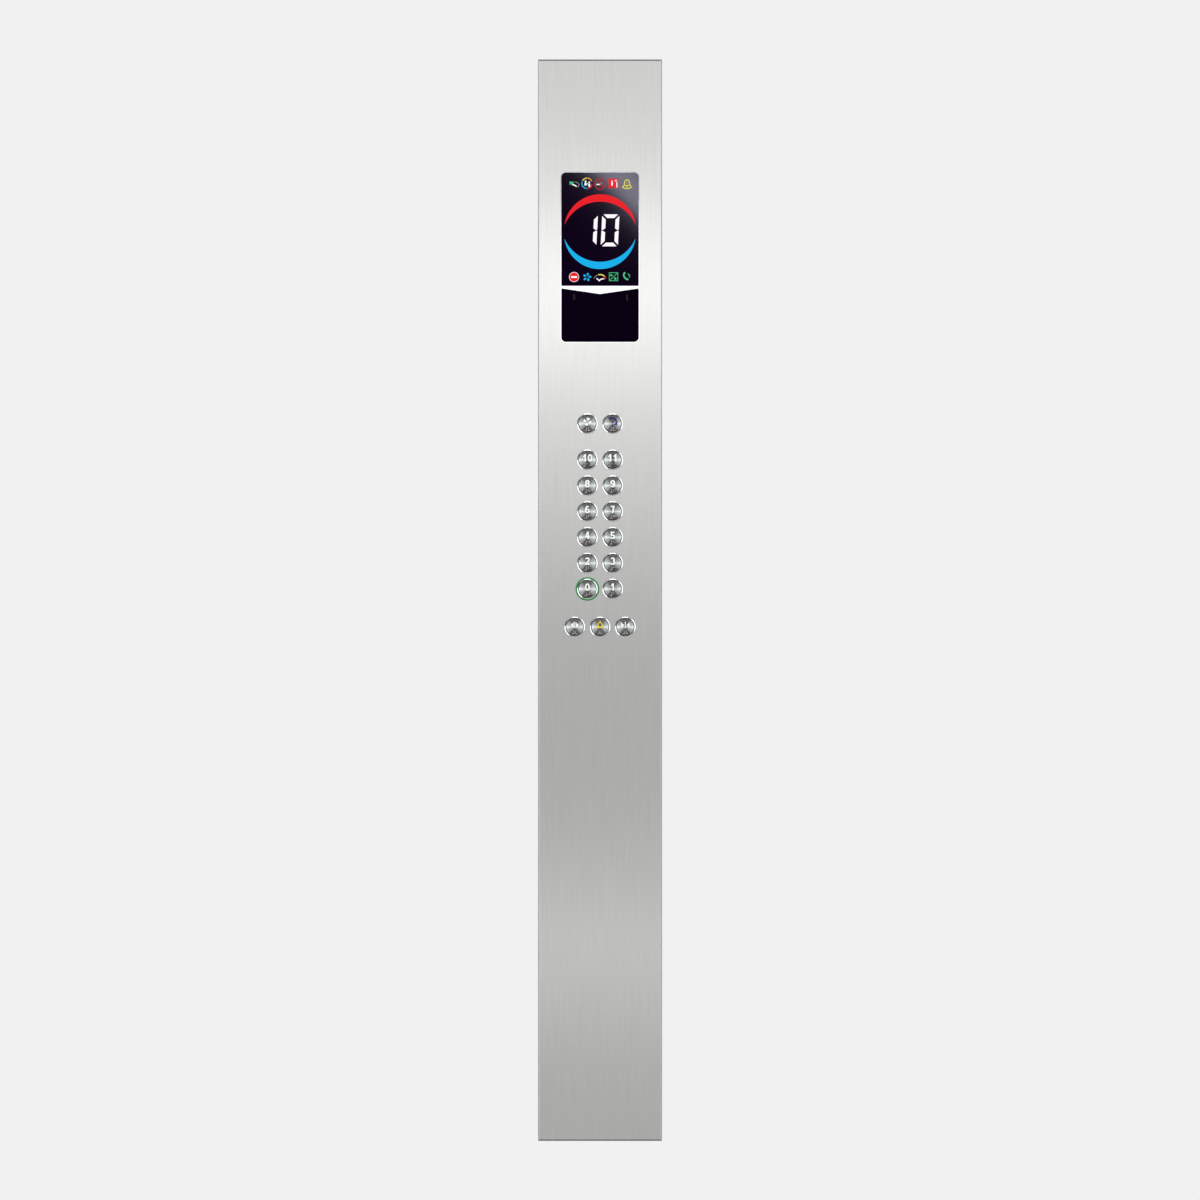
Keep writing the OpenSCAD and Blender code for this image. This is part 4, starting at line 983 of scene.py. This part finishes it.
def threads():
    """Threads of the weld studs, of the screws that come out behind the box, and of the earth stud."""
    m4, m6 = dict(Radius=1.95 * MM, Pitch=0.7 * MM), dict(Radius=2.95 * MM, Pitch=1.0 * MM)
    studs = [((l.x + h.x) / 2, h.y - 0.3 * MM, (l.z + h.z) / 2) for l, h in solids_of("weld_studs")]
    grown("stud_threads", THREADS, studs, "front_panel", "copper_plated_stud", Length=7 * MM,
          Finish=COPPER, **m4)
    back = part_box("back_box")[1][1]
    tips = [((l.x + h.x) / 2, h.y - 0.2 * MM, (l.z + h.z) / 2) for l, h in solids_of("box_screws")
            if h.y > back]
    grown("screw_threads", THREADS, tips, "wall_box", "zinc_plated_steel", Length=1.8 * MM,
          Finish=ZINC_PLATE, **m4)
    low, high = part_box("earth_stud")
    foot = ((low[0] + high[0]) / 2, low[1] + 8 * MM, (low[2] + high[2]) / 2)
    grown("earth_thread", THREADS, [foot], "wall_box", "brass_parts", Length=7.6 * MM, Finish=BRASS, **m6)


def welds():
    """Dimples of the spot welds down both flanges of each stiffener channel, about 60 mm apart."""
    dimples = []
    for low, high in solids_of("stiffener_channels"):
        for side in (-1, 1):
            x = side * (high.x - 6 * MM)
            dimples += [(x, low.y + 1.2 * MM, z) for z in rows(low.z + 20 * MM, high.z - 20 * MM, 60 * MM)]
    grown("spot_welds", DOMES, dimples, "front_panel", "galvanised_sheet", Radius=2.4 * MM, Height=0.18 * MM,
          Finish=MATERIALS["stainless_sheet"])


def terminal_screws():
    """Two screws in each rail terminal, with cross recesses drawn as painted shade."""
    heads = []
    for low, high in solids_of("rail_terminals"):
        x, z = (low.x + high.x) / 2, (low.z + high.z) / 2
        heads += [(x, low.y, z - 5.5 * MM), (x, low.y, z + 5.5 * MM)]
    grown("terminal_screws", DOMES, heads, "wall_box", "zinc_plated_steel", Radius=1.9 * MM, Height=0.35 * MM,
          Finish=ZINC_PLATE)
    # Thin dark crosses on the heads: painted shade in the cross recesses.
    grown("terminal_screw_recess_shades", RECESS_SHADES, [(x, y - 0.33 * MM, z) for x, y, z in heads], "wall_box",
          "black_components", Size=2.8 * MM, Finish=COMPONENT)


def chip_leads():
    """Leads beside the flat chips of the control board, on all four sides of a large one."""
    leads = []
    pitch, inset, out = 1.4 * MM, 1.5 * MM, 0.6 * MM
    for low, high in solids_of("board_parts"):
        if high.y - low.y > 5 * MM:
            continue
        foot = high.y - 0.3 * MM
        for x in rows(low.x + inset, high.x - inset, pitch):
            leads += [(x, foot, low.z - out), (x, foot, high.z + out)]
        if high.x - low.x > 20 * MM:
            for z in rows(low.z + inset, high.z - inset, pitch):
                leads += [(low.x - out, foot, z), (high.x + out, foot, z)]
    grown("chip_leads", LEADS, leads, "wall_box", "zinc_plated_steel", Thickness=0.7 * MM, Length=0.6 * MM,
          Finish=TIN)


def small_parts(name, patches, body, gap, seed, **more):
    """Small parts on patches of a board's face; a patch is x0, x1, z0, z1 and the face's y."""
    points, faces = [], []
    for x0, x1, z0, z1, y in patches:
        n = len(points)
        points += [(x0, y, z0), (x1, y, z0), (x1, y, z1), (x0, y, z1)]
        faces.append((n, n + 1, n + 2, n + 3))
    grown(name, CHIPS, points, body, "black_components", faces, Gap=gap, Seed=seed, Finish=COMPONENT, **more)


def boards():
    """Small parts on the bare stretches of each board."""
    low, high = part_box("control_board")
    tall = high[2] - low[2]
    bare = ((0.09, 0.26), (0.42, 0.48), (0.68, 0.77))       # shares of the control board's height
    left, right = low[0] + 12 * MM, high[0] - 12 * MM
    small_parts("control_board_chips", [(left, right, low[2] + a * tall, low[2] + b * tall, low[1])
                                        for a, b in bare], "wall_box", 6 * MM, 11)
    # Margins at the sides, foot and top and the gap between parts, in mm, then the seed
    for name, board, side, foot, top, gap, seed in (
            ("display_board_chips", "display_board", 8, 70, 10, 8, 5),
            ("reader_board_chips", "card_reader_board", 36, 50, 24, 6, 2)):
        low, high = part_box(board)
        bare = (low[0] + side * MM, high[0] - side * MM, low[2] + foot * MM, high[2] - top * MM, high[1])
        small_parts(name, [bare], "front_panel", gap * MM, seed)
    small_parts("button_board_chips", [(l.x + 3 * MM, h.x - 3 * MM, l.z + 3 * MM, l.z + 18 * MM, h.y)
                                       for l, h in solids_of("button_boards")], "front_panel", 5 * MM, 7,
                Length=2.0 * MM)


gap_shade_seals()
reader_coil()
can_tops()
threads()
welds()
terminal_screws()
chip_leads()
boards()


# Stage, lights and camera

def floor():
    """A level square of 24 m just below the panel. Metal shows the studio's own dark lower half instead."""
    reach, z = 12.0, CAD_BOX[0][2] - 0.5 * MM
    data = bpy.data.meshes.new("floor")
    data.from_pydata([(-reach, -reach, z), (reach, -reach, z), (reach, reach, z), (-reach, reach, z)], [],
                     [(0, 1, 2, 3)])
    data.materials.append(floor_paint())
    ground = placed("floor", data)
    ground.visible_glossy = False


# Brightness of the studio in reflections
STRIP_LEFT, STRIP_RIGHT = 1.6, 1.15     # strips at the left and right, above the flanks
FLANK = 0.67
CEILING_SHADE, FLOOR_SHADE = 0.19, 0.0
CENTRE_SHADE = 0.12
FAR_SHADE, FLAG_SHADE, BACK_SHADE = 0.62, 0.05, 0.62
SKY_LIGHT = 0.82                        # even light from all round on what isn't polished
BACKGROUND = "#F1F1F1"                  # as the camera sees it


def studio_world():
    """Pale for the camera; for polished metal a plain studio with soft boxes left and right, by direction."""
    world = bpy.data.worlds.new("studio")
    bpy.context.scene.world = world
    world.use_nodes = True
    tree = world.node_tree
    tree.nodes.clear()
    way = add(tree, VECTORS,
              {"operation": "NORMALIZE", 0: add(tree, "ShaderNodeTexCoord").outputs["Generated"]})
    x, y, z = add(tree, "ShaderNodeSeparateXYZ", {0: way}).outputs
    flat = add(tree, VECTORS, {"operation": "MULTIPLY", 0: way, 1: (1, 0, 1)})
    across = add(tree, VECTORS, {"operation": "LENGTH", 0: flat}).outputs["Value"]
    safe = add(tree, MATH, {"operation": "MAXIMUM", 0: across, 1: 0.02})
    rise = add(tree, MATH, {"operation": "DIVIDE", 0: z, 1: safe})    # sine of the angle round the view axis
    level = add(tree, MATH, {"operation": "ABSOLUTE", 0: rise})

    # Each range goes from one brightness, or one part of the studio, to the next as its first value grows.
    # Within 50 degrees of straight ahead: a bright strip and a grey flank on each side, dark in the middle,
    # above and below
    side = add(tree, RANGE, {0: x, 1: -0.1, 2: 0.1, 3: STRIP_LEFT, 4: STRIP_RIGHT})
    strips = add(tree, RANGE, {0: level, 1: 0.06, 2: 0.24, 3: side, 4: 0.0})
    flanks = add(tree, RANGE, {0: level, 1: 0.68, 2: 0.78, 3: FLANK, 4: 0.0})
    ends = add(tree, RANGE, {0: rise, 1: -0.3, 2: 0.3, 3: FLOOR_SHADE, 4: CEILING_SHADE})
    bright = add(tree, MATH, {"operation": "ADD", 0: strips, 1: flanks})
    sides = add(tree, MATH, {"operation": "MAXIMUM", 0: bright, 1: ends})
    near = add(tree, RANGE, {0: across, 1: 0.05, 2: 0.2, 3: CENTRE_SHADE, 4: sides})
    # The round from 56 to 68 degrees, which the bezels' sloping faces show: even grey, and a dark flag left
    flag = add(tree, VECTORS, {"operation": "DOT_PRODUCT", 0: way, 1: (-0.84, -0.47, 0.26)})
    far = add(tree, RANGE, {0: flag.outputs["Value"], 1: math.cos(math.radians(26)),
                            2: math.cos(math.radians(14)), 3: FAR_SHADE, 4: FLAG_SHADE})
    belt = add(tree, RANGE, {0: across, 1: 0.76, 2: 0.83, 3: near, 4: far})
    front = add(tree, RANGE, {0: across, 1: 0.93, 2: 0.97, 3: belt, 4: near})
    # From the sides to behind, as steep views from above see it: even grey
    glossy = add(tree, RANGE, {0: y, 1: -0.38, 2: -0.05, 3: front, 4: BACK_SHADE})

    rays = add(tree, "ShaderNodeLightPath").outputs
    even = add(tree, "ShaderNodeBackground", {"Color": linear("#FFFFFF"), "Strength": SKY_LIGHT})
    gloss = add(tree, "ShaderNodeBackground", {"Color": linear("#FFFFFF"), "Strength": glossy})
    pale = add(tree, "ShaderNodeBackground", {"Color": linear(BACKGROUND), "Strength": 1.0})
    seen = add(tree, MATH, {"operation": "MAXIMUM", 0: rays["Is Camera Ray"],
                            1: rays["Is Transmission Ray"]})
    lit_by = add(tree, "ShaderNodeMixShader", {0: rays["Is Diffuse Ray"], 1: gloss, 2: even})
    whole = add(tree, "ShaderNodeMixShader", {0: seen, 1: lit_by, 2: pale})
    add(tree, "ShaderNodeOutputWorld", {"Surface": whole})


def panel_light(name, place, aim, width, height, watts, wide=(1, 0, 0)):
    """A soft rectangular studio light, not seen itself; wide is the direction of its width."""
    data = bpy.data.lights.new(name, "AREA")
    data.shape = "RECTANGLE"
    data.size, data.size_y = width, height
    data.energy = watts
    lamp = placed(name, data)
    back = (Vector(place) - Vector(aim)).normalized()
    up = back.cross(Vector(wide)).normalized()
    turn = Matrix((up.cross(back), up, back)).transposed()
    lamp.matrix_world = Matrix.Translation(place) @ turn.to_4x4()
    lamp.visible_camera = False
    return lamp


def receivers(lamp, nodes, state):
    """A light that only some CAD nodes take, or that all but some take."""
    group = bpy.data.collections.new(lamp.name + "_receivers")
    for node in nodes:
        group.objects.link(NODES[node])
    lamp.light_linking.receiver_collection = group
    for row in group.collection_objects:
        row.light_linking.link_state = state


BEZEL_SLOPE = 31                         # of the bezels' faces, in degrees
BUTTON_FIELD = Vector((0, 0, 0.145))     # middle of the buttons


def bezel_light(name, clock, half, radiance):
    """A soft box that whitens the bezels' sloping faces round that angle, half an angle to each side."""
    a, out = math.radians(clock), math.radians(2 * BEZEL_SLOPE)
    away, height = 2.0, 1.1
    way = Vector((math.sin(out) * math.cos(a), -math.cos(out), math.sin(out) * math.sin(a)))
    place = BUTTON_FIELD + away * way
    width = 2 * away * math.tan(math.asin(math.sin(out) * math.sin(math.radians(half))))
    lamp = panel_light(name, place, BUTTON_FIELD, width, height, radiance * math.pi * width * height,
                       (-math.sin(a), 0, math.cos(a)))
    receivers(lamp, ["button_bezels"], "INCLUDE")


floor()
studio_world()
# Soft lights 3.2 m long and 2 m away, level with the bright bands down the faceplate and kept out of the
# lenses and buttons: name, height, width of the band and watts
for name, z, tall, watts in (("upper_band", 0.60, 0.26, 5.8), ("upper_wash", 0.84, 1.5, 7.8),
                             ("lower_band", -0.67, 0.12, 1.5)):
    lamp = panel_light(name, (0, -2.0, z), (0, 0, z), 3.2, tall, watts)
    receivers(lamp, ["upper_lens", "lower_lens", "button_bezels", *CAPS], "EXCLUDE")
# Three soft boxes for the bezels: above, on the right, low on the left
bezel_light("bezel_top", 90, 19, 1.7)
bezel_light("bezel_right", 10, 38, 1.5)
bezel_light("bezel_low_left", 208, 30, 1.7)
# A slanting card, 62 mm wide and 1.2 m away, gives the soft glare across the display's upper right corner
glare_x, glare_z = 0.036, 0.826
glare = panel_light("glare_card", (glare_x, -1.2, glare_z), (glare_x, 0, glare_z), 0.062, 0.4, 4.3, (1, 0, 1))
glare.data.color = (0.84, 0.8, 1.0)
receivers(glare, ["upper_lens"], "INCLUDE")

lens = bpy.data.cameras.new("camera")
lens.type = "ORTHO"
lens.ortho_scale = PHOTO_SIDE * PIXEL
lens.clip_end = 40
camera = placed("camera", lens)
middle_x, middle_z = spot(PHOTO_SIDE / 2, PHOTO_SIDE / 2)
camera.location = (middle_x, -5, middle_z)
camera.rotation_euler = (math.pi / 2, 0, 0)
bpy.context.scene.camera = camera
bpy.context.scene.view_settings.view_transform = "Standard"
